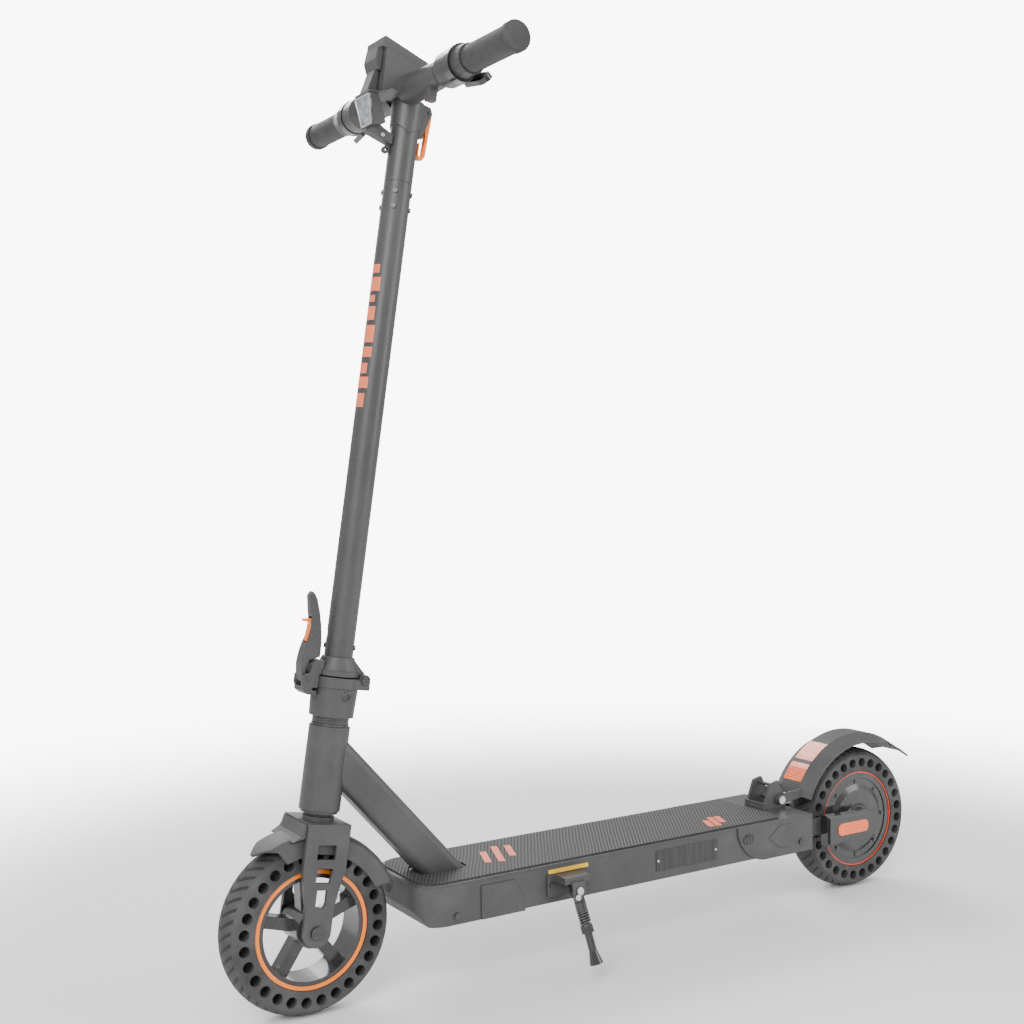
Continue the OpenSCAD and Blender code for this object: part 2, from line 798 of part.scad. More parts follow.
module fork() {
    rim_w = 3.5;
    flange_in = fork_gap / 2 - 2.5;
    color("#2b2b2c") on_steering() difference() {
        union() {
            both_sides() {
                across(arm_t, -fork_gap / 2 - arm_t / 2) arm_outline();
                across(arm_out - flange_in, -(arm_out + flange_in) / 2) difference() {
                    arm_outline();
                    arm_outline(rim_w);
                    translate([-60, -60]) square([120, 75]);
                }
            }
            translate([0, 0, crown_t - crown_plate / 2])
                cube([arm_w_top, 2 * arm_out, crown_plate], center = true);
            translate([0, 0, crown_t - 1]) cylinder(d = 36, h = 5);
            translate([0, 0, crown_t - 1]) cylinder(d = steerer_d, h = steerer_top - crown_t + 1);
        }
        translate([0, 0, crown_t - 20]) cylinder(d = steerer_d - 5, h = 200);
        both_sides() across(10, -fork_gap / 2) arm_windows();
        rod_y(front_axle_d + 2 * pin_fit, 100);
    }
}

// Through axle with its heads, nuts and spacers
module front_axle() {
    color("#5b5d61") at_front_wheel() {
        cylinder(d = front_axle_d, h = 2 * arm_out + 2, center = true);
        for (s = [-1, 1]) translate([0, 0, s * (arm_out + 1.5)]) cylinder(d = 15, h = 3, center = true);
        for (s = [-1, 1]) translate([0, 0, s * (fork_gap / 2 + hub_half + 0.3) / 2])
            cylinder(d = 16, h = fork_gap / 2 - hub_half - 0.3, center = true);
    }
}

// Moulded front fender, pointed at both ends, that flares up the front of the fork crown
module front_fender() {
    r = tyre_r + 9;
    t = 2.5;
    half = fork_gap / 2 - 3.4;
    tip_a = 125;
    end_a = 10;
    front = -arm_w_top / 2 - 0.3;
    color("#262627") difference() {
        union() {
            at_front_wheel() rotate([0, 0, end_a])
                rotate_extrude(angle = tip_a - end_a, $fn = 128)
                    polygon([[r - 24, -half], [r - 5, -half], [r - 1, -half + 6], [r, -half + 14],
                        [r, half - 14], [r - 1, half - 6], [r - 5, half], [r - 24, half],
                        [r - 24, half - 2], [r - 5 - t, half - 2], [r - t, half - 12],
                        [r - t, -half + 12], [r - 5 - t, -half + 2], [r - 24, -half + 2]]);
            on_steering() difference() {
                across(2 * arm_out - 6) polygon([[front, tyre_r - 8], [front, crown_t - 2],
                    [front - 2, crown_t - 1], [front - 3.5, crown_t - 9], [front - 6, crown_t - 14],
                    [front - 11, crown_t - 18], [front - 20, crown_t - 25], [front - 8, tyre_r - 8]]);
                rotate([90, 0, 0]) cylinder(r = r - t + 0.5, h = 100, center = true, $fn = 128);
            }
        }
        for (a = [43, -43]) at_front_wheel() {
            rotate([0, 0, tip_a]) rotate([a, 0, 0]) translate([0, 1.5, -60]) cube([200, 60, 120]);
            rotate([0, 0, end_a]) rotate([-a, 0, 0]) translate([0, -61.5, -60]) cube([200, 60, 120]);
        }
    }
}

module front_rim() {
    color("#1c1c1d") at_front_wheel() difference() {
        union() {
            difference() {
                union() {
                    cylinder(d = rim_seat_d, h = 2 * flange_out, center = true);
                    for (s = [-1, 1]) translate([0, 0, s * (half_barrel + flange_t / 2)])
                        cylinder(d = rim_flange_d, h = flange_t, center = true);
                }
                cylinder(d = rim_seat_d - 8, h = 100, center = true);
            }
            cylinder(d = 40, h = 2 * hub_half, center = true);
            for (i = [0 : spokes - 1]) rotate([0, 0, 20 + i * 360 / spokes])
                translate([16, -7, -9]) cube([rim_seat_d / 2 - 18, 14, 18]);
        }
        cylinder(d = front_axle_d + 4, h = 100, center = true);
        for (s = [-1, 1]) translate([0, 0, s * (hub_half - 4)]) cylinder(d = 28, h = 8 + eps, center = true);
    }
}

module front_bearings() {
    color("#d4d6d8") at_front_wheel() for (s = [-1, 1]) translate([0, 0, s * (hub_half - 4)])
        difference() {
            cylinder(d = 28, h = 8, center = true);
            cylinder(d = front_axle_d + 2 * pin_fit, h = 20, center = true);
        }
}

module front_tyre() {
    color("#1b1b1c") at_front_wheel() tyre();
}

module front_rings() {
    color("#ff7a10") at_front_wheel() rings(4.6);
}

// ---- Folding joint ----

// Lock ring above the head tube, and the pin of the folding joint
module fold_hardware() {
    color("#1a1a1b") on_steering(head_top + 3.3) difference() {
        cylinder(d = head_tube_d - 5, h = base_low - head_top - 3.6);
        translate([0, 0, -1]) cylinder(d = steerer_d + 2 * pin_fit, h = 40);
    }
    color("#2f3033") on_steering() translate([fold_pin_s, 0, fold_pin_t]) {
        rod_y(fold_pin_d, 2 * knuckle_half + 17.6);
        both_sides() rod_y(10, 2, -knuckle_half - 8.5 - 1);
    }
}

// Lower half of the folding joint, clamped on the steerer
module fold_base() {
    ear_y = knuckle_half + gap + 4;
    color("#242425") on_steering() difference() {
        union() {
            translate([0, 0, base_low]) cylinder(d1 = 51, d2 = 54, h = plate_low - base_low + eps);
            translate([0, 0, plate_low]) intersection() {
                cylinder(d = 56, h = split_t - plate_low);
                translate([plate_front, -40, 0]) cube([80, 80, 20]);
            }
            for (s = [-1, 1]) {
                translate([fold_pin_s, 0, fold_pin_t]) rod_y(2 * knuckle_r, 8, s * ear_y);
                translate([10, s * ear_y - 4, plate_low])
                    cube([fold_pin_s + knuckle_r - 10, 8, fold_pin_t - plate_low]);
            }
        }
        translate([fold_pin_s, 0, fold_pin_t]) {
            rod_y(2 * knuckle_r + 2 * gap, 2 * knuckle_half + 2 * gap);
            rod_y(fold_pin_d + 2 * pin_fit, 100);
        }
        translate([0, 0, base_low - 1])
            cylinder(d = steerer_d + 2 * pin_fit, h = steerer_top - base_low + 1.3);
        translate([0, 0, split_t - 13]) cylinder(d = 20, h = 20);
    }
}

// Upper half of the folding joint, tapered up to the stem tube
module stem_block() {
    neck_t = split_t + 22.5;
    color("#242425") on_steering() difference() {
        union() {
            intersection() {
                translate([0, 0, block_low]) cylinder(d = 54, h = 6);
                translate([-40, -40, block_low]) cube([40 + fold_pin_s - knuckle_r - gap, 80, 20]);
            }
            translate([0, 0, block_low + 6 - eps])
                cylinder(d1 = 50, d2 = stem_d + 4, h = neck_t - block_low - 6);
            translate([fold_pin_s, 0, fold_pin_t]) rod_y(2 * knuckle_r, 2 * knuckle_half);
            across(2 * knuckle_half) intersection() {
                hull() {
                    translate([fold_pin_s, fold_pin_t]) circle(r = knuckle_r);
                    translate([9, fold_pin_t + 18.7]) circle(r = 5);
                }
                translate([-10, split_t + 1.2]) square([60, 40]);
            }
        }
        translate([fold_pin_s, 0, fold_pin_t]) rod_y(fold_pin_d + 2 * pin_fit, 100);
        for (s = [-1, 1]) translate([fold_pin_s, 0, fold_pin_t])
            rod_y(2 * knuckle_r + 2 * gap, 16, s * (knuckle_half + 8));
        translate([-60, -link_half - gap, split_t]) cube([60 + link_s, 2 * (link_half + gap), 40]);
        translate([0, 0, block_low + 4]) cylinder(d = stem_d + 2 * pin_fit, h = 100);
        translate([0, 0, block_low - 1]) cylinder(d = 20, h = 100);
    }
}

// Forked link ahead of the split, which carries the lever between its ears
module latch_link() {
    color("#1a1a1b") on_steering() union() {
        across(2 * link_half) translate([0, split_t]) polygon([[link_s, 2], [link_s, 17.5],
            [-33, 17.5], [-36, 14], [-35.5, 2]]);
        for (s = [-1, 1]) across(4, s * (link_half - 2)) translate([0, split_t])
            polygon([[-26, 1.5], [-26, -13.5], [-44, -14.5], [-46, -10], [-46, -0.5], [-37.5, 2],
                [-36, 14], [-30, 14], [-30, 2.5]]);
        across(2 * link_half) translate([0, split_t]) polygon([[-44.5, -13], [-44, -18],
            [-38, -21.8], [-27.4, -21.8], [-27.4, -17], [-33, -16.5], [-34, -13.5]]);
        translate([lever_pivot_s, 0, lever_pivot_t]) rod_y(4, 27);
    }
}

// Curved closing lever, narrower at its tip, with a slot for the safety catch
module fold_lever() {
    module outline() {
        translate([0, split_t]) polygon([[-26, 23], [-26.7, 40], [-28.8, 57], [-32, 71], [-36, 84],
            [-40, 91], [-43.5, 93.3], [-46.3, 88], [-43.8, 76], [-41, 64], [-40.5, 53],
            [-41.5, 43], [-44, 35], [-46.5, 25], [-48, 12], [-46.5, 1], [-45, -4], [-38, -1],
            [-42, 2], [-42, 8], [-38.5, 16.5], [-26.4, 20.8]]);
        translate([lever_pivot_s, lever_pivot_t]) circle(r = 5.5);
    }
    color("#202021") on_steering() difference() {
        intersection() {
            across(16) outline();
            rotate([90, 0, 90]) translate([0, split_t, -80]) linear_extrude(100)
                polygon([[-8, -20], [8, -20], [8, 35], [5, 80], [4.5, 100], [-4.5, 100], [-5, 80],
                    [-8, 35]]);
        }
        translate([lever_pivot_s, 0, lever_pivot_t]) rod_y(4 + 2 * pin_fit, 60);
        translate([-92.5, -4.6, split_t + 35.5]) cube([60, 9.2, 29.5]);
    }
}

// Orange safety catch in the front of the lever
module fold_latch() {
    color("#ff7a10") on_steering() across(8) {
        translate([0, split_t]) polygon([[-49.5, 59], [-49, 61.5], [-37, 63.3], [-35.5, 57],
            [-37.5, 49], [-40, 41], [-42.5, 36.5], [-44, 38.5], [-41.8, 47], [-40.5, 55],
            [-42, 58.5]]);
        translate([latch_pivot_s, latch_pivot_t]) circle(r = 2.6, $fn = 32);
    }
}

// ---- Stem and handlebar ----

module stem_tube() {
    color("#323233") on_steering() difference() {
        translate([0, 0, tube_low]) cylinder(d = stem_d, h = sleeve_t - tube_low);
        translate([0, 0, tube_low - 1]) cylinder(d = stem_d - 5, h = bar_t);
        stem_screw_heads();
        rotate([0, 0, 148]) translate([stem_d / 2 - 4, -6, split_t + 43]) cube([8, 12, 8]);
    }
}

// Upper length of the stem, plugged into the tube below and flush with it
module stem_collar() {
    plug_d = stem_d - 5 - 2 * pin_fit;
    color("#323233") on_steering() difference() {
        union() {
            translate([0, 0, sleeve_t + 0.2]) cylinder(d = stem_d, h = tube_top_t - sleeve_t - 0.2);
            translate([0, 0, sleeve_t - 44]) cylinder(d = plug_d, h = 50);
        }
        translate([0, 0, sleeve_t - 50]) cylinder(d = stem_d - 10, h = 200);
    }
}

// Heads of the screws at the top joint and at the foot of the stem
module stem_screw_heads() {
    module around(t, turns) {
        for (turn = turns) rotate([0, 0, turn]) translate([stem_d / 2 - 0.8, 0, t])
            rotate([0, 90, 0]) cylinder(d = cap_screw_d, h = 2.4, $fn = 24);
    }
    around(sleeve_t - 12, [57, 147, 237, 327]);
    around(sleeve_t - 30, [57, 147, 237, 327]);
    around(split_t + 34, [150, 330]);
}

module stem_screws() {
    color("#3c3d40") on_steering() stem_screw_heads();
}

// Casting that joins the stem to the handlebar, with its two tapering horns, the neck that
// takes the stem and the cheeks of the hook's pin
module head_casting() {
    color("#2c2c2d") difference() {
        union() {
            on_steering() {
                across(46) translate([0, bar_t]) polygon([[-44, -12], [-46, 36.6], [10, 25.2],
                    [16, 4], [3, -14.5], [-34, -7.5]]);
                difference() {
                    translate([0, 0, neck_low]) cylinder(d1 = stem_d + 2.4, d2 = stem_d + 5.5, h = 40);
                    across(60) translate([0, neck_low]) polygon([[-60, -5], [-60, 39], [-2, 0],
                        [56, 39], [56, -5]]);
                }
                for (s = [-1, 1]) across(3, s * 6) translate([0, bar_t]) polygon([[14, -49],
                    [14, -8], [hook_pivot_s + 1, -10], [hook_pivot_s + 4, hook_pivot_t - bar_t],
                    [hook_pivot_s + 2, hook_pivot_t - bar_t - 5], [19.5, -49]]);
                translate([14, -7.5, bar_t - 49]) cube([4.4, 15, 37]);
                translate([hook_pivot_s, 0, hook_pivot_t]) rod_y(4, 17);
            }
            on_bar() for (s = [0, 1]) mirror([0, 0, s]) {
                translate([0, 0, 15]) cylinder(r1 = 17.5, r2 = 14.8, h = control_in - 15);
                translate([-8, -29, control_in - 25]) cube([10, 15, 10]);
            }
        }
        on_steering(neck_low - 20) cylinder(d = stem_d + 2 * pin_fit, h = tube_top_t + 0.3 - neck_low + 20);
        on_bar() cylinder(r = bar_r, h = 300, center = true);
        on_steering(bar_t + 13) translate([-41, -18, 0]) cube([44, 36, 40]);
    }
}

// Display housing on top of the casting
module dash() {
    color("#1e1e1f") on_steering() difference() {
        across(42) translate([0, bar_t]) polygon([[-50.5, 37.6], [-50.5, 48.2], [-48, 50.2],
            [9, 35.2], [10.5, 25.2]]);
        translate([-20, 0, bar_t + 42.8]) rotate([0, dash_lean, 0]) translate([-24, -17, -1.5])
            cube([34, 34, 10]);
        translate([0, 0, bar_t + 37.5]) rotate([0, dash_lean, 0]) translate([0, 0, -6])
            cylinder(d = 11 + 2 * gap, h = 20);
    }
}

module display_lens() {
    color("#0a0c10") on_steering() translate([-20, 0, bar_t + 42.8]) rotate([0, dash_lean, 0])
        translate([-23.7, -16.7, -1.5]) cube([33.4, 33.4, 1.5]);
}

module power_button() {
    color("#d23a2a") on_steering() translate([0, 0, bar_t + 37.5]) rotate([0, dash_lean, 0])
        translate([0, 0, -4]) cylinder(d = 11, h = 5.5);
}

// Lamp body with its tilted face, its strut up to the dash, and the bracket back to the stem
module headlamp() {
    color("#1a1a1b") on_steering() translate([0, 0, bar_t]) {
        across(36) polygon([[-56.9, -17.5], [-47, -16], [-33, -46], [-38, -50], [-46.2, -51]]);
        across(38) polygon([[-59, -17.3], [-59, -14.8], [-46.3, -12.8], [-46.3, -16.1]]);
        across(20) polygon([[-58, -15], [-51.5, 12.5], [-46.3, 12.5], [-46.3, -13]]);
        across(30) polygon([[-46.3, 12], [-50.5, 12], [-55, 23], [-53.5, 37.4],
            [-50.5, 37.5], [-46.3, 36.6]]);
        across(14) polygon([[-45, -50], [-46, -58], [-16.9, -65], [-16.9, -54], [-34, -47]]);
        across(6) difference() {
            union() {
                translate([-21.4, -71]) circle(r = 4.4, $fn = 32);
                translate([-19.8, -71]) square([2.8, 11]);
            }
            translate([-21.4, -71]) circle(r = 2, $fn = 32);
        }
    }
}

module lamp_lens() {
    lean = 18;
    color("#cfd6dc") on_steering(bar_t - 51) translate([-46.2, 0, 0]) rotate([0, -lean, 0])
        rotate([90, 0, -90]) linear_extrude(2) polygon([[-13, 1], [13, 1], [19, 33], [17, 35],
            [-17, 35], [-19, 33]]);
}

// Folding bag hook on its boss at the back of the stem
module bag_hook() {
    color("#ff7a10") on_steering() translate([hook_pivot_s, 0, hook_pivot_t]) difference() {
        union() {
            rod_y(11.6, 8);
            across(8) polygon([[5.5, 2], [5.2, -10], [4, -30], [3, -50], [0.5, -55.5], [-4.5, -56],
                [-7.8, -52.5], [-7.8, -38], [-6.6, -36], [-5.8, -38], [-5.8, -51], [-4.8, -52],
                [-1.6, -52], [-0.6, -51], [0.5, -30], [-2, -12], [-5.5, -2]]);
        }
        rod_y(4 + 2 * pin_fit, 20);
    }
}

// Hollow tube that runs through the casting, the housings and the grips
module bar_tube() {
    color("#8f9296") on_bar() difference() {
        cylinder(d = bar_tube_d - 2 * pin_fit, h = 2 * (bar_w / 2 - 7), center = true);
        cylinder(d = bar_tube_d - 4, h = bar_w, center = true);
    }
}

module grips() {
    body = grip_len - grip_cap_len;
    color("#2e2e2f") on_bar() for (s = [0, 1]) mirror([0, 0, s])
        translate([0, 0, control_out]) difference() {
            union() {
                cylinder(d = grip_d, h = body - 1);
                cylinder(d = grip_d - 2, h = body + 1);
                translate([0, 0, body]) cylinder(d = grip_cap_d, h = grip_cap_len - 2);
                translate([0, 0, grip_len - 2 - eps])
                    cylinder(d1 = grip_cap_d, d2 = grip_cap_d - 3, h = 2);
            }
            translate([0, 0, -1]) cylinder(d = bar_tube_d, h = grip_len - 5);
        }
}

// Round housings of the brake sensor and the throttle beside the grips
module control_housings() {
    color("#2c2d2f") on_bar() for (s = [0, 1]) mirror([0, 0, s]) difference() {
        union() {
            translate([0, 0, control_in + 0.1]) cylinder(r1 = 15.5, r2 = control_d / 2, h = 10);
            translate([0, 0, control_in + 10])
                cylinder(d = control_d, h = ring_in - gap - control_in - 10);
            translate([0, 0, ring_in + ring_w + gap])
                cylinder(d1 = control_d - 3, d2 = grip_cap_d + 1,
                    h = control_out - ring_in - ring_w - 2 * gap);
            translate([0, 0, control_in + 0.1])
                cylinder(r = sleeve_r, h = control_out - control_in - 0.6);
        }
        cylinder(r = bar_r, h = 300);
    }
}

// Thumb paddle on the near side's housing: a ring about the handlebar and a round-ended blade
module thumb_paddle() {
    blade_w = 18;
    blade_len = 33;
    on_bar() difference() {
        union() {
            translate([0, 0, ring_in]) cylinder(d = control_d + 2, h = ring_w);
            rotate([0, 0, paddle_turn]) intersection() {
                translate([control_d / 2 - 3, -blade_w / 2, ring_in]) rotate([0, 10, 0])
                    translate([0, 0, -10]) cube([6, blade_w, 60]);
                rotate([0, 90, 0]) linear_extrude(60) {
                    translate([-ring_in - blade_len + blade_w / 2, -blade_w / 2])
                        square([blade_len - blade_w / 2, blade_w]);
                    translate([-ring_in - blade_len + blade_w / 2, 0]) circle(r = blade_w / 2);
                }
            }
        }
        translate([0, 0, ring_in - 1]) cylinder(r = sleeve_r + pin_fit, h = 100);
        translate([0, 0, ring_in + ring_w]) cylinder(d = control_d - 3 + 2 * gap, h = 100);
    }
}

module brake_paddle() {
    color("#1c1c1d") mirror([0, 1, 0]) thumb_paddle();
}

module throttle_paddle() {
    color("#1c1c1d") thumb_paddle();
}

head_tube();
down_tube();
deck_tray();
deck_lid();
deck_mat();
nose_cap();
battery();
controller();
wiring();
tail_covers();
rear_stays();
stay_caps();
charge_port();
port_cap();
kick_bracket();
kick_leg();
kick_spring();
tail_catch();
hinge_pins();
fender_spring();
deck_screws();
headset();
motor_axle();
axle_nuts();
stator();
magnets();
motor_shell();
motor_covers();
motor_bearings();
rear_tyre();
rear_rings();
rear_fender();
fork();
front_axle();
front_fender();
fold_base();
front_rim();
front_tyre();
front_rings();
front_bearings();
stem_block();
stem_tube();
stem_collar();
fold_hardware();
latch_link();
fold_lever();
fold_latch();
head_casting();
dash();
display_lens();
power_button();
headlamp();
lamp_lens();
stem_screws();
bag_hook();
bar_tube();
grips();
control_housings();
brake_paddle();
throttle_paddle();
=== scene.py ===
"""Looks of a folding electric kick scooter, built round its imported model. Metres, Z up, forward is -X."""
import json
import math

import bmesh
import bpy
from mathutils import Matrix, Vector


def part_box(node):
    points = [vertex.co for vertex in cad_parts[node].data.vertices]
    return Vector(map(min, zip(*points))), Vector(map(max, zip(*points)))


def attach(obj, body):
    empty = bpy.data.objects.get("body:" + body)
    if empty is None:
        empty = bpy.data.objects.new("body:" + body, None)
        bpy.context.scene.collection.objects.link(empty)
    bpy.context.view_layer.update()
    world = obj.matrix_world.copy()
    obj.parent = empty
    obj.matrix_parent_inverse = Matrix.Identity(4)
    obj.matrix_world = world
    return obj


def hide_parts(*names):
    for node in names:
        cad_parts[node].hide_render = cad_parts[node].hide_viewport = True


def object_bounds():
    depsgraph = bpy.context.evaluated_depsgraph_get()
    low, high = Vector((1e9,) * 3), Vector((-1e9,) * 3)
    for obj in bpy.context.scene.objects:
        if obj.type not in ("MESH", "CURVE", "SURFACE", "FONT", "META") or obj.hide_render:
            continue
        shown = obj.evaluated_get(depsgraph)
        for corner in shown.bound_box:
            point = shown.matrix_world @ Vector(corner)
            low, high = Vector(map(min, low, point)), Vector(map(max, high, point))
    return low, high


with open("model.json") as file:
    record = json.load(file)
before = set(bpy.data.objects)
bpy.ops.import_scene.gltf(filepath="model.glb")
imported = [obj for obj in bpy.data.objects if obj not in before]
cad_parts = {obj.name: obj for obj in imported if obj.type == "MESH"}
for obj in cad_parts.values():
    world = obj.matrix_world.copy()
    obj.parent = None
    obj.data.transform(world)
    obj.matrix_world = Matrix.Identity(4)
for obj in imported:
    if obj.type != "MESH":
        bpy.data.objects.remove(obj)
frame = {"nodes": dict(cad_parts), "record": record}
CAD_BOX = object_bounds()
NODES = frame["nodes"]
SLOT_OF = {part["node"]: part["material_slot"] for part in frame["record"]["subparts"]}
RAKE = math.radians(9)
FRONT_AXLE = (-0.425, 0, 0.1)
REAR_AXLE = (0.425, 0, 0.1)
BAR = (-0.2816, 0, 1.0501)
DECK_SIDE = -0.0665
STEERING = Matrix.Translation(FRONT_AXLE) @ Matrix.Rotation(RAKE, 4, "Y")
FACING_NEAR = Matrix(((1, 0, 0, 0), (0, 0, -1, 0), (0, 1, 0, 0), (0, 0, 0, 1)))


# ---- Camera, light and floor ----

def aim_camera():
    """Camera at the left front of the scooter, a little below the handlebar."""
    yaw, pitch, roll = math.radians(31.93), math.radians(2.0), math.radians(-0.76)
    ahead = Vector((math.sin(yaw) * math.cos(pitch), math.cos(yaw) * math.cos(pitch), -math.sin(pitch)))
    right = ahead.cross(Vector((0, 0, 1))).normalized()
    up = right.cross(ahead)
    c, s = math.cos(roll), math.sin(roll)
    right, up = c * right + s * up, -s * right + c * up
    data = bpy.data.cameras.new("studio_camera")
    data.sensor_width = 36
    data.lens = 48.46
    data.clip_end = 80
    camera = bpy.data.objects.new("studio_camera", data)
    turn = Matrix((right, up, -ahead)).transposed().to_4x4()
    camera.matrix_world = Matrix.Translation((-1.0362, -1.4362, 0.6178)) @ turn
    bpy.context.scene.collection.objects.link(camera)
    bpy.context.scene.camera = camera


def area_light(name, place, target, size, power, tint=(1, 1, 1)):
    data = bpy.data.lights.new(name, "AREA")
    data.shape = "RECTANGLE"
    data.size, data.size_y = size
    data.energy = power
    data.color = tint
    lamp = bpy.data.objects.new(name, data)
    lamp.location = place
    lamp.rotation_euler = (Vector(target) - Vector(place)).to_track_quat("-Z", "Y").to_euler()
    bpy.context.scene.collection.objects.link(lamp)


def pale_paper(fade_start, fade_end, brightness):
    """Pale floor that fades into the room's own white with distance, so that no horizon shows."""
    paper = bpy.data.materials.new("pale_paper")
    paper.use_nodes = True
    nodes, links = paper.node_tree.nodes, paper.node_tree.links
    shader = nodes["Principled BSDF"]
    shader.inputs["Base Color"].default_value = (0.93, 0.93, 0.93, 1)
    shader.inputs["Roughness"].default_value = 0.7
    place = nodes.new("ShaderNodeTexCoord")
    length = nodes.new("ShaderNodeVectorMath")
    length.operation = "LENGTH"
    links.new(place.outputs["Object"], length.inputs[0])
    fade = nodes.new("ShaderNodeMapRange")
    fade.interpolation_type = "SMOOTHSTEP"
    fade.inputs["From Min"].default_value = fade_start
    fade.inputs["From Max"].default_value = fade_end
    links.new(length.outputs["Value"], fade.inputs["Value"])
    glow = nodes.new("ShaderNodeEmission")
    glow.inputs["Strength"].default_value = brightness
    path = nodes.new("ShaderNodeLightPath")
    seen = nodes.new("ShaderNodeMath")
    seen.operation = "MULTIPLY"
    links.new(fade.outputs["Result"], seen.inputs[0])
    links.new(path.outputs["Is Camera Ray"], seen.inputs[1])
    mix = nodes.new("ShaderNodeMixShader")
    links.new(seen.outputs["Value"], mix.inputs["Fac"])
    links.new(shader.outputs["BSDF"], mix.inputs[1])
    links.new(glow.outputs["Emission"], mix.inputs[2])
    links.new(mix.outputs["Shader"], nodes["Material Output"].inputs["Surface"])
    return paper


def build_studio():
    backdrop, fill = 9.0, 0.85
    world = bpy.data.worlds.new("pale_room")
    world.use_nodes = True
    nodes, links = world.node_tree.nodes, world.node_tree.links
    background = nodes["Background"]
    background.inputs["Color"].default_value = (1, 1, 1, 1)
    path = nodes.new("ShaderNodeLightPath")
    strength = nodes.new("ShaderNodeMapRange")
    strength.inputs["To Min"].default_value = fill
    strength.inputs["To Max"].default_value = backdrop
    links.new(path.outputs["Is Camera Ray"], strength.inputs["Value"])
    links.new(strength.outputs["Result"], background.inputs["Strength"])
    bpy.context.scene.world = world
    area_light("key_softbox", (-2.6, -2.2, 2.6), (0, 0, 0.4), (2.2, 2.2), 130)
    area_light("side_softbox", (2.4, -2.4, 1.6), (0.1, 0, 0.3), (1.6, 2.4), 60)
    area_light("rear_softbox", (0.4, 2.8, 2.4), (0, 0, 0.5), (2.4, 1.6), 90)
    floor = bpy.data.meshes.new("studio_floor")
    bm = bmesh.new()
    bmesh.ops.create_circle(bm, cap_ends=True, segments=64, radius=40)
    bm.to_mesh(floor)
    bm.free()
    slab = bpy.data.objects.new("studio_floor", floor)
    bpy.context.scene.collection.objects.link(slab)
    slab.data.materials.append(pale_paper(0.75, 2.0, backdrop))


# ---- Shared surface effects ----

def new_group(name, inputs, outputs):
    """Empty node group with its sockets, each input given as (name, kind, value)."""
    group = bpy.data.node_groups.new(name, "ShaderNodeTree")
    for label, kind, value in inputs:
        socket = group.interface.new_socket(name=label, in_out="INPUT", socket_type=kind)
        if value is not None:
            socket.default_value = value
    for label, kind in outputs:
        group.interface.new_socket(name=label, in_out="OUTPUT", socket_type=kind)
    return group, group.nodes.new("NodeGroupInput"), group.nodes.new("NodeGroupOutput")


def wire(tree, start, end):
    tree.links.new(start, end)


def maths(tree, operation, *values):
    """Math node whose operands are sockets or numbers; gives its output."""
    node = tree.nodes.new("ShaderNodeMath")
    node.operation = operation
    for operand, value in zip(node.inputs, values):
        if isinstance(value, (int, float)):
            operand.default_value = value
        else:
            wire(tree, value, operand)
    return node.outputs[0]


def build_aged_finish():
    """Fine grain with broad, soft clouds of handling: drives colour, roughness and relief."""
    group, start, end = new_group("aged_finish", [
        ("Vector", "NodeSocketVector", None),
        ("Clean Color", "NodeSocketColor", (0.03, 0.03, 0.03, 1)),
        ("Dusty Color", "NodeSocketColor", (0.05, 0.05, 0.05, 1)),
        ("Cloud Scale", "NodeSocketFloat", 14.0),
        ("Grain Scale", "NodeSocketFloat", 900.0),
        ("Smooth", "NodeSocketFloat", 0.35),
        ("Rough", "NodeSocketFloat", 0.5)],
        [("Color", "NodeSocketColor"), ("Roughness", "NodeSocketFloat"), ("Height", "NodeSocketFloat")])
    clouds = group.nodes.new("ShaderNodeTexNoise")
    clouds.inputs["Detail"].default_value = 5
    clouds.inputs["Roughness"].default_value = 0.6
    grain = group.nodes.new("ShaderNodeTexNoise")
    grain.inputs["Detail"].default_value = 2
    for texture, scale in ((clouds, "Cloud Scale"), (grain, "Grain Scale")):
        wire(group, start.outputs["Vector"], texture.inputs["Vector"])
        wire(group, start.outputs[scale], texture.inputs["Scale"])
    spread = group.nodes.new("ShaderNodeMapRange")
    spread.inputs["From Min"].default_value = 0.36
    spread.inputs["From Max"].default_value = 0.66
    wire(group, clouds.outputs["Fac"], spread.inputs["Value"])
    tint = group.nodes.new("ShaderNodeMix")
    tint.data_type = "RGBA"
    wire(group, spread.outputs["Result"], tint.inputs["Factor"])
    colours = [i for i in tint.inputs if i.type == "RGBA"]
    wire(group, start.outputs["Clean Color"], colours[0])
    wire(group, start.outputs["Dusty Color"], colours[1])
    grain_share, cloud_share = 0.35, 0.65
    clouded = maths(group, "MULTIPLY", spread.outputs["Result"], cloud_share)
    both = maths(group, "MULTIPLY_ADD", grain.outputs["Fac"], grain_share, clouded)
    polish = group.nodes.new("ShaderNodeMapRange")
    wire(group, both, polish.inputs["Value"])
    wire(group, start.outputs["Smooth"], polish.inputs["To Min"])
    wire(group, start.outputs["Rough"], polish.inputs["To Max"])
    wire(group, [o for o in tint.outputs if o.type == "RGBA"][0], end.inputs["Color"])
    wire(group, polish.outputs["Result"], end.inputs["Roughness"])
    wire(group, grain.outputs["Fac"], end.inputs["Height"])
    return group


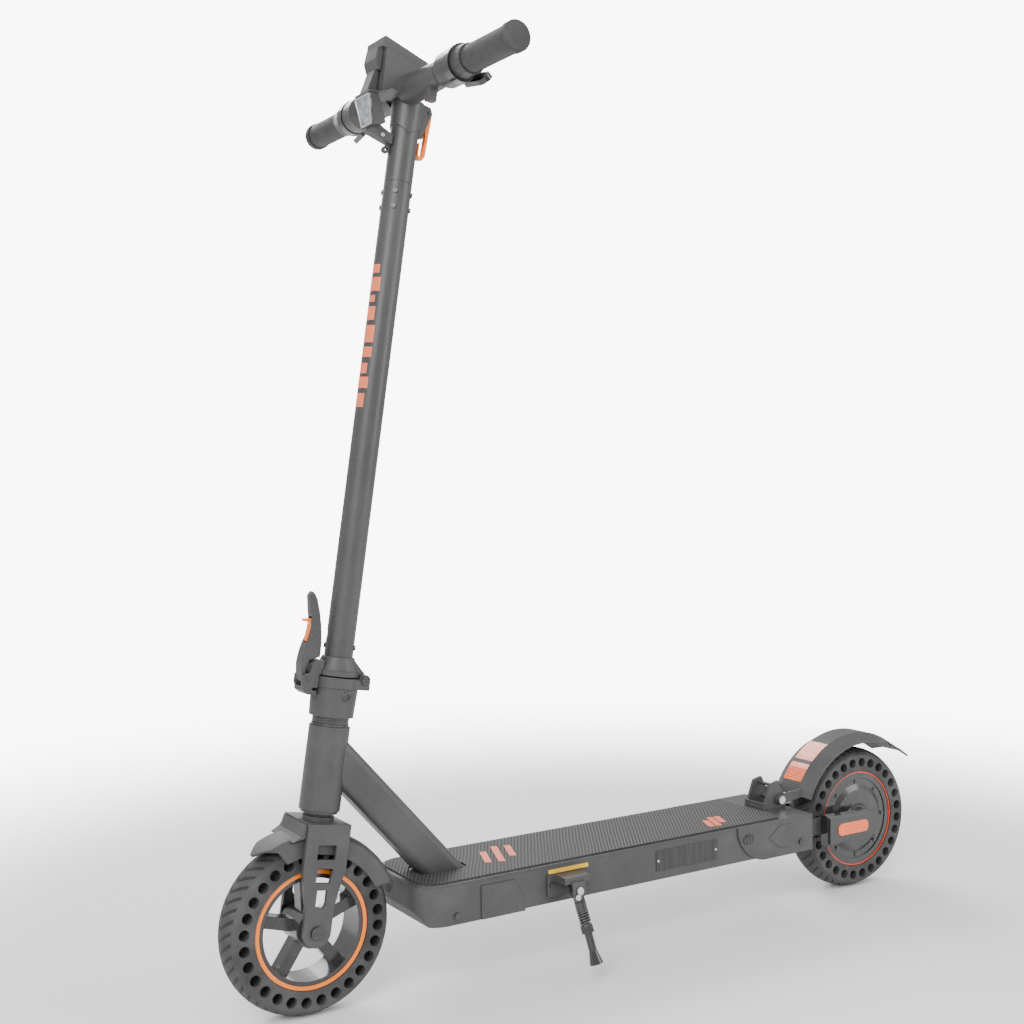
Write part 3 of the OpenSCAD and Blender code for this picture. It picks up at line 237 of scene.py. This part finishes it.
def build_round_pattern():
    """Ribs round and along a shaft on Y; Around counts them, Pitch spaces them, Slant skews them."""
    group, start, end = new_group("round_pattern", [
        ("Vector", "NodeSocketVector", None), ("Around", "NodeSocketFloat", 60.0),
        ("Pitch", "NodeSocketFloat", 0.004), ("Slant", "NodeSocketFloat", 0.0)],
        [("Ribs", "NodeSocketFloat"), ("Rows", "NodeSocketFloat"), ("Radius", "NodeSocketFloat")])
    split = group.nodes.new("ShaderNodeSeparateXYZ")
    wire(group, start.outputs["Vector"], split.inputs["Vector"])
    x, y, z = split.outputs
    angle = maths(group, "ARCTAN2", z, x)
    width = maths(group, "ABSOLUTE", y)
    turns = maths(group, "MULTIPLY", maths(group, "DIVIDE", angle, 2 * math.pi), start.outputs["Around"])
    skew = maths(group, "MULTIPLY_ADD", width, start.outputs["Slant"], turns)
    ribs = maths(group, "PINGPONG", skew, 0.5)
    rows = maths(group, "PINGPONG", maths(group, "DIVIDE", y, start.outputs["Pitch"]), 0.5)
    square_x = maths(group, "MULTIPLY", x, x)
    square_z = maths(group, "MULTIPLY", z, z)
    radius = maths(group, "SQRT", maths(group, "ADD", square_x, square_z))
    wire(group, maths(group, "MULTIPLY", ribs, 2.0), end.inputs["Ribs"])
    wire(group, maths(group, "MULTIPLY", rows, 2.0), end.inputs["Rows"])
    wire(group, radius, end.inputs["Radius"])
    return group


AGED = build_aged_finish()
ROUND = build_round_pattern()


# ---- Materials ----

def finish(name, clean, dusty, smooth, rough, clouds=14.0, grain=900.0, relief=0.1, depth=0.0002,
           metal=0.0, coat=0.0, edge=0.0, specular=0.5):
    """Material with the shared grain and clouds; gives it with its tree, shader, bump and place."""
    material = bpy.data.materials.new(name)
    material.use_nodes = True
    tree = material.node_tree
    shader = tree.nodes["Principled BSDF"]
    shader.inputs["Metallic"].default_value = metal
    shader.inputs["Coat Weight"].default_value = coat
    shader.inputs["Coat Roughness"].default_value = 0.08
    shader.inputs["Specular IOR Level"].default_value = specular
    place = tree.nodes.new("ShaderNodeTexCoord")
    aged = tree.nodes.new("ShaderNodeGroup")
    aged.node_tree = AGED
    wire(tree, place.outputs["Object"], aged.inputs["Vector"])
    aged.inputs["Clean Color"].default_value = (*clean, 1)
    aged.inputs["Dusty Color"].default_value = (*dusty, 1)
    aged.inputs["Cloud Scale"].default_value = clouds
    aged.inputs["Grain Scale"].default_value = grain
    aged.inputs["Smooth"].default_value = smooth
    aged.inputs["Rough"].default_value = rough
    bump = tree.nodes.new("ShaderNodeBump")
    bump.inputs["Strength"].default_value = relief
    bump.inputs["Distance"].default_value = depth
    wire(tree, aged.outputs["Color"], shader.inputs["Base Color"])
    wire(tree, aged.outputs["Roughness"], shader.inputs["Roughness"])
    wire(tree, aged.outputs["Height"], bump.inputs["Height"])
    wire(tree, bump.outputs["Normal"], shader.inputs["Normal"])
    if edge:
        rounding = tree.nodes.new("ShaderNodeBevel")
        rounding.samples = 4
        rounding.inputs["Radius"].default_value = edge
        wire(tree, rounding.outputs["Normal"], bump.inputs["Normal"])
    return material, tree, shader, bump, place, aged


def centred(tree, place, centre):
    """Object coordinates with their origin moved to a point."""
    shift = tree.nodes.new("ShaderNodeVectorMath")
    shift.operation = "SUBTRACT"
    shift.inputs[1].default_value = centre
    wire(tree, place.outputs["Object"], shift.inputs[0])
    return shift.outputs[0]


def add_relief(tree, bump, height, strength, depth):
    """Second bump under the grain's own."""
    lower = tree.nodes.new("ShaderNodeBump")
    lower.inputs["Strength"].default_value = strength
    lower.inputs["Distance"].default_value = depth
    wire(tree, height, lower.inputs["Height"])
    if bump.inputs["Normal"].is_linked:
        wire(tree, bump.inputs["Normal"].links[0].from_socket, lower.inputs["Normal"])
    wire(tree, lower.outputs["Normal"], bump.inputs["Normal"])


def paint_groove_shade(tree, shader, mask, keep):
    """Paints shade into the colour where the mask is 1, as at the bottom of a groove."""
    shade = maths(tree, "SUBTRACT", 1.0, maths(tree, "MULTIPLY", mask, 1 - keep))
    mix = tree.nodes.new("ShaderNodeMix")
    mix.data_type = "RGBA"
    mix.blend_type = "MULTIPLY"
    mix.inputs["Factor"].default_value = 1
    colours = [i for i in mix.inputs if i.type == "RGBA"]
    wire(tree, shader.inputs["Base Color"].links[0].from_socket, colours[0])
    wire(tree, shade, colours[1])
    wire(tree, [o for o in mix.outputs if o.type == "RGBA"][0], shader.inputs["Base Color"])


def round_pattern(tree, vector, around, pitch, slant):
    node = tree.nodes.new("ShaderNodeGroup")
    node.node_tree = ROUND
    wire(tree, vector, node.inputs["Vector"])
    node.inputs["Around"].default_value = around
    node.inputs["Pitch"].default_value = pitch
    node.inputs["Slant"].default_value = slant
    return node


def tyre_rubber(name, centre):
    """Solid tyre: chevron grooves on the tread with painted shade in them, fine concentric lines and dust on
    the walls.
    """
    material, tree, shader, bump, place, _ = finish(
        name, (0.03, 0.03, 0.031), (0.075, 0.074, 0.072), 0.55, 0.8, 22, 1400, 0.25, 0.0003, specular=0.4)
    tread_start, wall_lines = 0.0945, 2600.0
    pattern = round_pattern(tree, centred(tree, place, centre), 46, 0.012, 55)
    block = maths(tree, "GREATER_THAN", pattern.outputs["Ribs"], 0.34)
    tread = maths(tree, "GREATER_THAN", pattern.outputs["Radius"], tread_start)
    grooves = maths(tree, "MULTIPLY", maths(tree, "SUBTRACT", 1.0, block), tread)
    wall = maths(tree, "SINE", maths(tree, "MULTIPLY", pattern.outputs["Radius"], wall_lines))
    height = maths(tree, "SUBTRACT", maths(tree, "MULTIPLY", maths(tree, "MULTIPLY", wall, 0.06),
                   maths(tree, "SUBTRACT", 1.0, tread)), grooves)
    add_relief(tree, bump, height, 0.8, 0.0016)
    # Painted shade in the tread grooves: the colour there is cut to 35 %.
    paint_groove_shade(tree, shader, grooves, 0.35)
    return material


def grip_rubber():
    """Grip: short raised ribs in rows, smoother and paler where hands polish them."""
    material, tree, _, bump, place, _ = finish(
        "grip_rubber", (0.022, 0.022, 0.023), (0.05, 0.05, 0.05), 0.5, 0.72, 30, 1500, 0.2, edge=0.0006)
    pattern = round_pattern(tree, centred(tree, place, BAR), 44, 0.0042, 0)
    stud = maths(tree, "MULTIPLY", maths(tree, "SMOOTH_MIN", pattern.outputs["Ribs"], 0.6, 0.2),
                 maths(tree, "SMOOTH_MIN", pattern.outputs["Rows"], 0.7, 0.2))
    add_relief(tree, bump, stud, 0.3, 0.0006)
    return material


def housing_paint():
    """Control housing: satin paint, with a knurled ring next to the grip."""
    material, tree, _, bump, place, _ = finish(
        "housing_paint", (0.035, 0.035, 0.037), (0.06, 0.06, 0.062), 0.28, 0.42, 16, 1100, 0.08, metal=0.3,
        coat=0.2, edge=0.0008)
    pattern = round_pattern(tree, centred(tree, place, BAR), 90, 0.004, 0)
    split = tree.nodes.new("ShaderNodeSeparateXYZ")
    wire(tree, place.outputs["Object"], split.inputs["Vector"])
    knurl_start = 0.14
    outer = maths(tree, "GREATER_THAN", maths(tree, "ABSOLUTE", split.outputs["Y"]), knurl_start)
    add_relief(tree, bump, maths(tree, "MULTIPLY", pattern.outputs["Ribs"], outer), 0.6, 0.0008)
    return material


def mat_rubber():
    """Deck mat: close wavy grooves that run slantwise over the deck, with painted shade in their troughs."""
    material, tree, shader, bump, place, _ = finish(
        "mat_rubber", (0.028, 0.028, 0.029), (0.07, 0.069, 0.067), 0.5, 0.75, 9, 1500, 0.25, specular=0.45)
    turn = tree.nodes.new("ShaderNodeMapping")
    turn.inputs["Rotation"].default_value = (0, 0, math.radians(32))
    wire(tree, place.outputs["Object"], turn.inputs["Vector"])
    waves = tree.nodes.new("ShaderNodeTexWave")
    waves.inputs["Scale"].default_value = 75
    waves.inputs["Distortion"].default_value = 1.6
    waves.inputs["Detail"].default_value = 0
    waves.inputs["Detail Scale"].default_value = 0.35
    wire(tree, turn.outputs["Vector"], waves.inputs["Vector"])
    add_relief(tree, bump, waves.outputs["Fac"], 0.75, 0.0009)
    # Painted shade in the troughs of the wavy grooves: the colour there is cut to 55 %.
    paint_groove_shade(tree, shader, maths(tree, "SUBTRACT", 1.0, waves.outputs["Fac"]), 0.55)
    return material


def brushed(name, clean, dusty, smooth, rough, stretch=(1, 1, 40), metal=1.0):
    """Metal with fine lines drawn one way."""
    material, tree, _, _, place, aged = finish(name, clean, dusty, smooth, rough, 20, 300, 0.15,
                                                       metal=metal, edge=0.0004)
    pull = tree.nodes.new("ShaderNodeMapping")
    pull.inputs["Scale"].default_value = stretch
    wire(tree, place.outputs["Object"], pull.inputs["Vector"])
    wire(tree, pull.outputs["Vector"], aged.inputs["Vector"])
    return material


def fluted_lens():
    """Headlamp glass over a bright reflector, with upright flutes."""
    material, tree, _, bump, place, _ = finish(
        "lamp_glass", (0.2, 0.21, 0.23), (0.55, 0.57, 0.6), 0.05, 0.16, 130, 600, 0.03, metal=0.7, coat=1.0,
        edge=0.0006)
    split = tree.nodes.new("ShaderNodeSeparateXYZ")
    wire(tree, place.outputs["Object"], split.inputs["Vector"])
    flutes = maths(tree, "PINGPONG", maths(tree, "DIVIDE", split.outputs["Y"], 0.004), 0.5)
    add_relief(tree, bump, flutes, 0.9, 0.002)
    return material


def prism_plastic(name, clean, dusty):
    """Reflector plastic with a lattice of tiny prisms under a clear face."""
    material, tree, _, bump, place, _ = finish(name, clean, dusty, 0.08, 0.2, 40, 800, 0.05, coat=1.0)
    cells = tree.nodes.new("ShaderNodeTexVoronoi")
    cells.inputs["Scale"].default_value = 420
    cells.inputs["Randomness"].default_value = 0.0
    wire(tree, place.outputs["Object"], cells.inputs["Vector"])
    add_relief(tree, bump, cells.outputs["Distance"], 0.8, 0.0012)
    return material


def lacquer_copper():
    """Lacquered windings of the motor, wound in fine rows."""
    material, tree, _, bump, place, _ = finish(
        "copper_windings", (0.5, 0.2, 0.08), (0.32, 0.13, 0.06), 0.2, 0.4, 60, 500, 0.2, metal=0.9)
    pattern = round_pattern(tree, centred(tree, place, REAR_AXLE), 200, 0.0012, 0)
    add_relief(tree, bump, pattern.outputs["Rows"], 0.6, 0.0005)
    return material


def make_materials():
    made = {
        "frame_black": finish("powder_coat", (0.04, 0.04, 0.042), (0.062, 0.062, 0.063), 0.38, 0.55,
                              12, 1300, 0.3, edge=0.0012)[0],
        "stem_black": finish("stem_paint", (0.042, 0.042, 0.044), (0.06, 0.06, 0.062), 0.36, 0.52, 8, 1500,
                             0.16, coat=0.08, edge=0.001)[0],
        "moulded_black": finish("fine_moulding", (0.042, 0.042, 0.043), (0.07, 0.069, 0.068), 0.48, 0.66,
                                16, 1700, 0.4, edge=0.001)[0],
        "gloss_black": finish("gloss_moulding", (0.012, 0.012, 0.013), (0.022, 0.022, 0.023), 0.1, 0.24,
                              18, 700, 0.04, coat=0.6, edge=0.0009)[0],
        "mat_rubber": mat_rubber(),
        "grip_rubber": grip_rubber(),
        "rim_black": finish("rim_enamel", (0.018, 0.018, 0.019), (0.04, 0.04, 0.04), 0.2, 0.36,
                            20, 900, 0.08, coat=0.4, edge=0.001)[0],
        "orange_plastic": finish("orange_plastic", (1.0, 0.23, 0.0), (0.9, 0.19, 0.0), 0.22, 0.36, 26, 1100,
                                 0.08, coat=0.3, edge=0.0007)[0],
        "ring_red": finish("red_orange_band", (0.8, 0.05, 0.005), (0.65, 0.05, 0.01), 0.25, 0.4,
                           26, 1100, 0.08, coat=0.2)[0],
        "steel_bright": brushed("zinc_steel", (0.6, 0.6, 0.61), (0.46, 0.46, 0.47), 0.22, 0.4),
        "steel_dark": brushed("black_oxide", (0.06, 0.06, 0.065), (0.1, 0.1, 0.1), 0.28, 0.45, metal=0.8),
        "lamp_chrome": fluted_lens(),
        "lens_dark": finish("smoked_window", (0.008, 0.009, 0.012), (0.014, 0.015, 0.018), 0.04, 0.1,
                            20, 400, 0.01, coat=1.0, edge=0.0005)[0],
        "button_red": finish("button_cap", (0.5, 0.04, 0.02), (0.36, 0.04, 0.03), 0.3, 0.45, 40, 1200, 0.1,
                             edge=0.0006)[0],
        "battery_blue": finish("shrink_wrap", (0.03, 0.09, 0.34), (0.05, 0.12, 0.36), 0.2, 0.4,
                               18, 300, 0.5, 0.0006, edge=0.001)[0],
        "controller_alu": brushed("plain_aluminium", (0.66, 0.66, 0.68), (0.55, 0.55, 0.56), 0.28, 0.42,
                                  (1, 40, 1)),
        "wire_red": finish("lead_insulation", (0.5, 0.03, 0.02), (0.4, 0.04, 0.03), 0.35, 0.5,
                           30, 900, 0.1)[0],
        "copper": lacquer_copper(),
        "spring_steel": brushed("spring_steel", (0.1, 0.1, 0.11), (0.16, 0.16, 0.165), 0.25, 0.42),
    }
    made["tyre_front"] = tyre_rubber("front_tyre_rubber", FRONT_AXLE)
    made["tyre_rear"] = tyre_rubber("rear_tyre_rubber", REAR_AXLE)
    made["housing"] = housing_paint()
    made["reflector"] = prism_plastic("reflector_amber", (1.0, 0.14, 0.0), (0.9, 0.1, 0.0))
    made["plate"] = brushed("plate_foil", (0.03, 0.03, 0.032), (0.06, 0.06, 0.062), 0.3, 0.5, (30, 1, 1),
                            metal=0.4)
    made["bezel"] = finish("satin_chrome", (0.72, 0.73, 0.75), (0.6, 0.61, 0.63), 0.12, 0.26, 40, 900, 0.04,
                           metal=0.9, coat=0.5)[0]
    made["strip_yellow"] = finish("yellow_strip", (0.85, 0.5, 0.01), (0.7, 0.42, 0.02), 0.35, 0.5,
                                  60, 900, 0.1)[0]
    made["print_salmon"] = finish("salmon_print", (0.9, 0.2, 0.08), (0.78, 0.17, 0.08), 0.38, 0.52,
                                  60, 1400, 0.1)[0]
    return made


MATERIALS = make_materials()
OWN_FINISH = {"headlamp": "moulded_black", "front_tyre": "tyre_front", "rear_tyre": "tyre_rear",
              "control_housings": "housing"}


def dress_frame():
    """Gives every node of the frame its finish."""
    for node, thing in NODES.items():
        material = MATERIALS[OWN_FINISH.get(node, SLOT_OF[node])]
        thing.data.materials.clear()
        thing.data.materials.append(material)


# ---- Pieces ----

def add_piece(name, bm, material, body, place=None, smooth=False):
    """Makes a mesh piece from a bmesh, puts it in place and lets it ride on a body."""
    if place is not None:
        bmesh.ops.transform(bm, matrix=place, verts=bm.verts)
    bmesh.ops.remove_doubles(bm, verts=bm.verts, dist=1e-6)
    bmesh.ops.recalc_face_normals(bm, faces=bm.faces)
    mesh = bpy.data.meshes.new(name)
    bm.to_mesh(mesh)
    bm.free()
    mesh.polygons.foreach_set("use_smooth", [smooth] * len(mesh.polygons))
    mesh.materials.append(MATERIALS[material])
    piece = bpy.data.objects.new(name, mesh)
    bpy.context.scene.collection.objects.link(piece)
    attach(piece, body)
    return piece


def raise_outline(bm, height):
    """Pulls the flat outline on XY up into a solid and gives the edges of its top."""
    raised = bmesh.ops.extrude_face_region(bm, geom=list(bm.faces), use_keep_orig=True)
    lifted = [g for g in raised["geom"] if isinstance(g, bmesh.types.BMVert)]
    bmesh.ops.translate(bm, verts=lifted, vec=(0, 0, height))
    return [edge for edge in bm.edges if all(v.co.z > height * 0.99 for v in edge.verts)]


def soften(bm, edges, offset, segments):
    bmesh.ops.bevel(bm, geom=edges, offset=offset, offset_type="OFFSET", segments=segments, profile=0.5,
                    affect="EDGES", material=-1, clamp_overlap=True)


def rounded_plate(width, height, radius, depth, rim, segments=32):
    """Plate with round corners in XY, standing depth high, its upper rim softened."""
    bm = bmesh.new()
    bmesh.ops.create_circle(bm, cap_ends=True, segments=segments, radius=radius)
    bmesh.ops.rotate(bm, verts=bm.verts, cent=(0, 0, 0), matrix=Matrix.Rotation(math.pi / segments, 3, "Z"))
    for vert in bm.verts:
        vert.co.x += math.copysign(width / 2 - radius, vert.co.x)
        vert.co.y += math.copysign(height / 2 - radius, vert.co.y)
    soften(bm, raise_outline(bm, depth), rim, 3)
    return bm


def near_side(x, y, z):
    """Placement on a face that looks to the near side."""
    return Matrix.Translation((x, y, z)) @ FACING_NEAR


def far_side(x, y, z):
    """Placement on a face that looks to the far side."""
    return Matrix.Translation((x, y, z)) @ Matrix.Rotation(math.pi, 4, "Z") @ FACING_NEAR


def socket_head(radius, height):
    """Button-headed screw with a sunken socket, standing on XY."""
    bm = bmesh.new()
    bmesh.ops.create_circle(bm, cap_ends=True, segments=24, radius=radius)
    soften(bm, raise_outline(bm, height), height * 0.45, 3)
    crown = max(bm.faces, key=lambda face: face.calc_center_median().z + face.calc_area())
    bmesh.ops.inset_region(bm, faces=[crown], thickness=radius * 0.32, depth=0)
    bmesh.ops.inset_region(bm, faces=[crown], thickness=radius * 0.04, depth=-height * 0.6)
    return bm


def curved_patch(radius, angle_from, angle_to, low, high, thickness, columns=14, rows=6):
    """Thin patch on a cylinder about Z, from one angle to another and from low to high."""
    bm = bmesh.new()
    bmesh.ops.create_grid(bm, x_segments=columns, y_segments=rows, size=0.5)
    for vert in bm.verts:
        angle = angle_from + (vert.co.x + 0.5) * (angle_to - angle_from)
        height = low + (vert.co.y + 0.5) * (high - low)
        vert.co = (radius * math.cos(angle), radius * math.sin(angle), height)
    bmesh.ops.recalc_face_normals(bm, faces=bm.faces)
    bmesh.ops.solidify(bm, geom=list(bm.faces), thickness=thickness)
    return bm


def merge_into(target, source, place):
    """Adds one bmesh to another at a place."""
    bmesh.ops.transform(source, matrix=place, verts=source.verts)
    spare = bpy.data.meshes.new("spare")
    source.to_mesh(spare)
    source.free()
    target.from_mesh(spare)
    bpy.data.meshes.remove(spare)


def build_reflectors():
    """Amber pills on the outer faces of the stay caps."""
    along, out, up = 0.384, 0.054, 0.1
    places = {"near_reflector": near_side(along, -out, up), "far_reflector": far_side(along, out, up)}
    for name, place in places.items():
        pill = rounded_plate(0.058, 0.017, 0.0072, 0.0018, 0.0007)
        add_piece(name, pill, "reflector", "frame", place)


def build_deck_side():
    """Blank data plate with its rivets and the narrow yellow strip on the deck's near side."""
    middle, height, rivet_reach = 0.0745, 0.114, 0.047
    add_piece("data_plate", rounded_plate(0.1, 0.026, 0.0022, 0.0009, 0.0003), "plate",
              "frame", near_side(middle, DECK_SIDE, height))
    rivets = bmesh.new()
    for x in (middle - rivet_reach, middle + rivet_reach):
        merge_into(rivets, socket_head(0.0019, 0.0011), near_side(x, DECK_SIDE - 0.0008, height))
    add_piece("plate_rivets", rivets, "steel_bright", "frame")
    add_piece("caution_strip", rounded_plate(0.058, 0.005, 0.001, 0.0004, 0.0001), "strip_yellow",
              "frame", near_side(-0.109, DECK_SIDE, 0.1275))


def build_deck_marks():
    """Plain slanted bars printed on the mat, front and rear."""
    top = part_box("deck_mat")[1][2]
    marks = bmesh.new()
    for x, y, length in ((-0.186, 0.0, 0.046), (-0.166, 0.004, 0.066), (-0.146, 0.008, 0.046),
                         (0.138, -0.034, 0.03), (0.151, -0.03, 0.042), (0.164, -0.026, 0.03)):
        place = Matrix.Translation((x, y, top)) @ Matrix.Rotation(math.radians(68), 4, "Z")
        merge_into(marks, rounded_plate(length, 0.0085, 0.0008, 0.0004, 0.0001, 16), place)
    add_piece("deck_marks", marks, "print_salmon", "frame")


def build_stem_marks():
    """Column of plain bars printed down the front of the stem."""
    marks = bmesh.new()
    low, radius, facing = 0.590, 0.01655, 190
    for length, gap, reach in ((0.016, 0.006, 26), (0.013, 0.004, 34), (0.012, 0.007, 22), (0.012, 0.005, 34),
                               (0.02, 0.006, 34), (0.016, 0.005, 26), (0.008, 0.005, 18), (0.016, 0.005, 34),
                               (0.01, 0.004, 24)):
        start, end = math.radians(facing - reach), math.radians(facing + reach)
        patch = curved_patch(radius, start, end, low, low + length, 0.0004)
        merge_into(marks, patch, STEERING)
        low += length + gap
    add_piece("stem_marks", marks, "print_salmon", "stem")


def build_fender_stickers():
    """Two amber stickers over the crown of the rear fender."""
    place = Matrix.Translation(REAR_AXLE) @ Matrix.Rotation(math.pi / 2, 4, "X")
    for name, start, end in (("upper_sticker", 115, 132), ("lower_sticker", 135, 148)):
        bm = curved_patch(0.1241, math.radians(start), math.radians(end), -0.017, 0.017, 0.0006)
        add_piece(name, bm, "reflector", "foot_brake", place)


def build_kick_spring():
    """Real coils round the top of the kickstand's leg, over their sleeve."""
    pivot = Matrix.Translation((-0.112, -0.0885, 0.106)) @ Matrix.Rotation(math.radians(-13), 4, "X") \
        @ Matrix.Rotation(math.radians(-9), 4, "Y")
    coils, pitch, steps = 5, 0.0031, 30
    wire_radius, coil_radius, lowest = 0.00115, 0.00605, -0.0395
    bm = bmesh.new()
    bmesh.ops.create_circle(bm, cap_ends=True, segments=10, radius=wire_radius)
    bmesh.ops.rotate(bm, verts=bm.verts, cent=(0, 0, 0), matrix=Matrix.Rotation(math.pi / 2, 3, "X"))
    bmesh.ops.translate(bm, verts=bm.verts, vec=(coil_radius, 0, lowest))
    bmesh.ops.spin(bm, geom=list(bm.verts) + list(bm.edges) + list(bm.faces), cent=(0, 0, 0), axis=(0, 0, 1),
                   dvec=(0, 0, pitch / steps), angle=2 * math.pi * coils, steps=coils * steps,
                   use_merge=False)
    sleeve = bmesh.new()
    bmesh.ops.create_cone(sleeve, cap_ends=True, segments=6, radius1=0.0058, radius2=0.0058, depth=0.006)
    soften(sleeve, list(sleeve.edges), 0.0005, 2)
    merge_into(bm, sleeve, Matrix.Translation((0, 0, -0.0435)))
    piece = add_piece("kick_coils", bm, "spring_steel", "kickstand", pivot)
    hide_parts("kick_spring")


def build_lamp_bezel():
    """Bright frame raised round the headlamp's glass, its outline in millimetres."""
    bm = bmesh.new()
    outline = ((-13, 1), (13, 1), (19, 33), (17, 35), (-17, 35), (-19, 33))
    bm.faces.new([bm.verts.new((x / 1000, y / 1000, 0)) for x, y in outline])
    bm.normal_update()
    middle = bm.faces[:][0]
    bmesh.ops.inset_region(bm, faces=[middle], thickness=0.0022, depth=0, use_boundary=True)
    bmesh.ops.delete(bm, geom=[middle], context="FACES")
    bmesh.ops.solidify(bm, geom=list(bm.faces), thickness=-0.0008)
    rims = [edge for edge in bm.edges if edge.calc_face_angle(0) > 1.2]
    soften(bm, rims, 0.00025, 2)
    lean = Matrix.Rotation(math.radians(-18), 4, "Y")
    facing_front = Matrix(((0, 0, -1, 0), (-1, 0, 0, 0), (0, 1, 0, 0), (0, 0, 0, 1)))
    proud = Matrix.Translation((0, 0, 0.0019))
    place = STEERING @ Matrix.Translation((-0.0462, 0, 0.9098)) @ lean @ facing_front @ proud
    add_piece("lamp_bezel", bm, "bezel", "stem", place)


def build_grip_dimples():
    """Small moulded rings at the middle of each grip's end."""
    for name, side in (("near_dimple", -1), ("far_dimple", 1)):
        bm = bmesh.new()
        bmesh.ops.create_circle(bm, cap_ends=False, segments=8, radius=0.0005)
        bmesh.ops.rotate(bm, verts=bm.verts, cent=(0, 0, 0), matrix=Matrix.Rotation(math.pi / 2, 3, "X"))
        bmesh.ops.translate(bm, verts=bm.verts, vec=(0.0026, 0, 0))
        bmesh.ops.spin(bm, geom=list(bm.verts) + list(bm.edges), cent=(0, 0, 0), axis=(0, 0, 1),
                       angle=2 * math.pi, steps=28, use_merge=True)
        place = Matrix.Translation((BAR[0], side * (CAD_BOX[1][1] - 0.0005), BAR[2])) @ FACING_NEAR
        add_piece(name, bm, "grip_rubber", "stem", place, smooth=True)


def build_fasteners():
    """Socket screws of the folding joint and of the lamp's bracket."""
    add_piece("joint_screw", socket_head(0.006, 0.0022), "steel_dark", "steering",
              STEERING @ Matrix.Translation((0.0045, -0.0255, 0.262)) @ FACING_NEAR)
    add_piece("lamp_screw", socket_head(0.0026, 0.0014), "steel_bright", "stem",
              STEERING @ Matrix.Translation((-0.0305, -0.007, 0.9035)) @ FACING_NEAR)


aim_camera()
build_studio()
dress_frame()
build_reflectors()
build_deck_side()
build_deck_marks()
build_stem_marks()
build_fender_stickers()
build_kick_spring()
build_lamp_bezel()
build_grip_dimples()
build_fasteners()
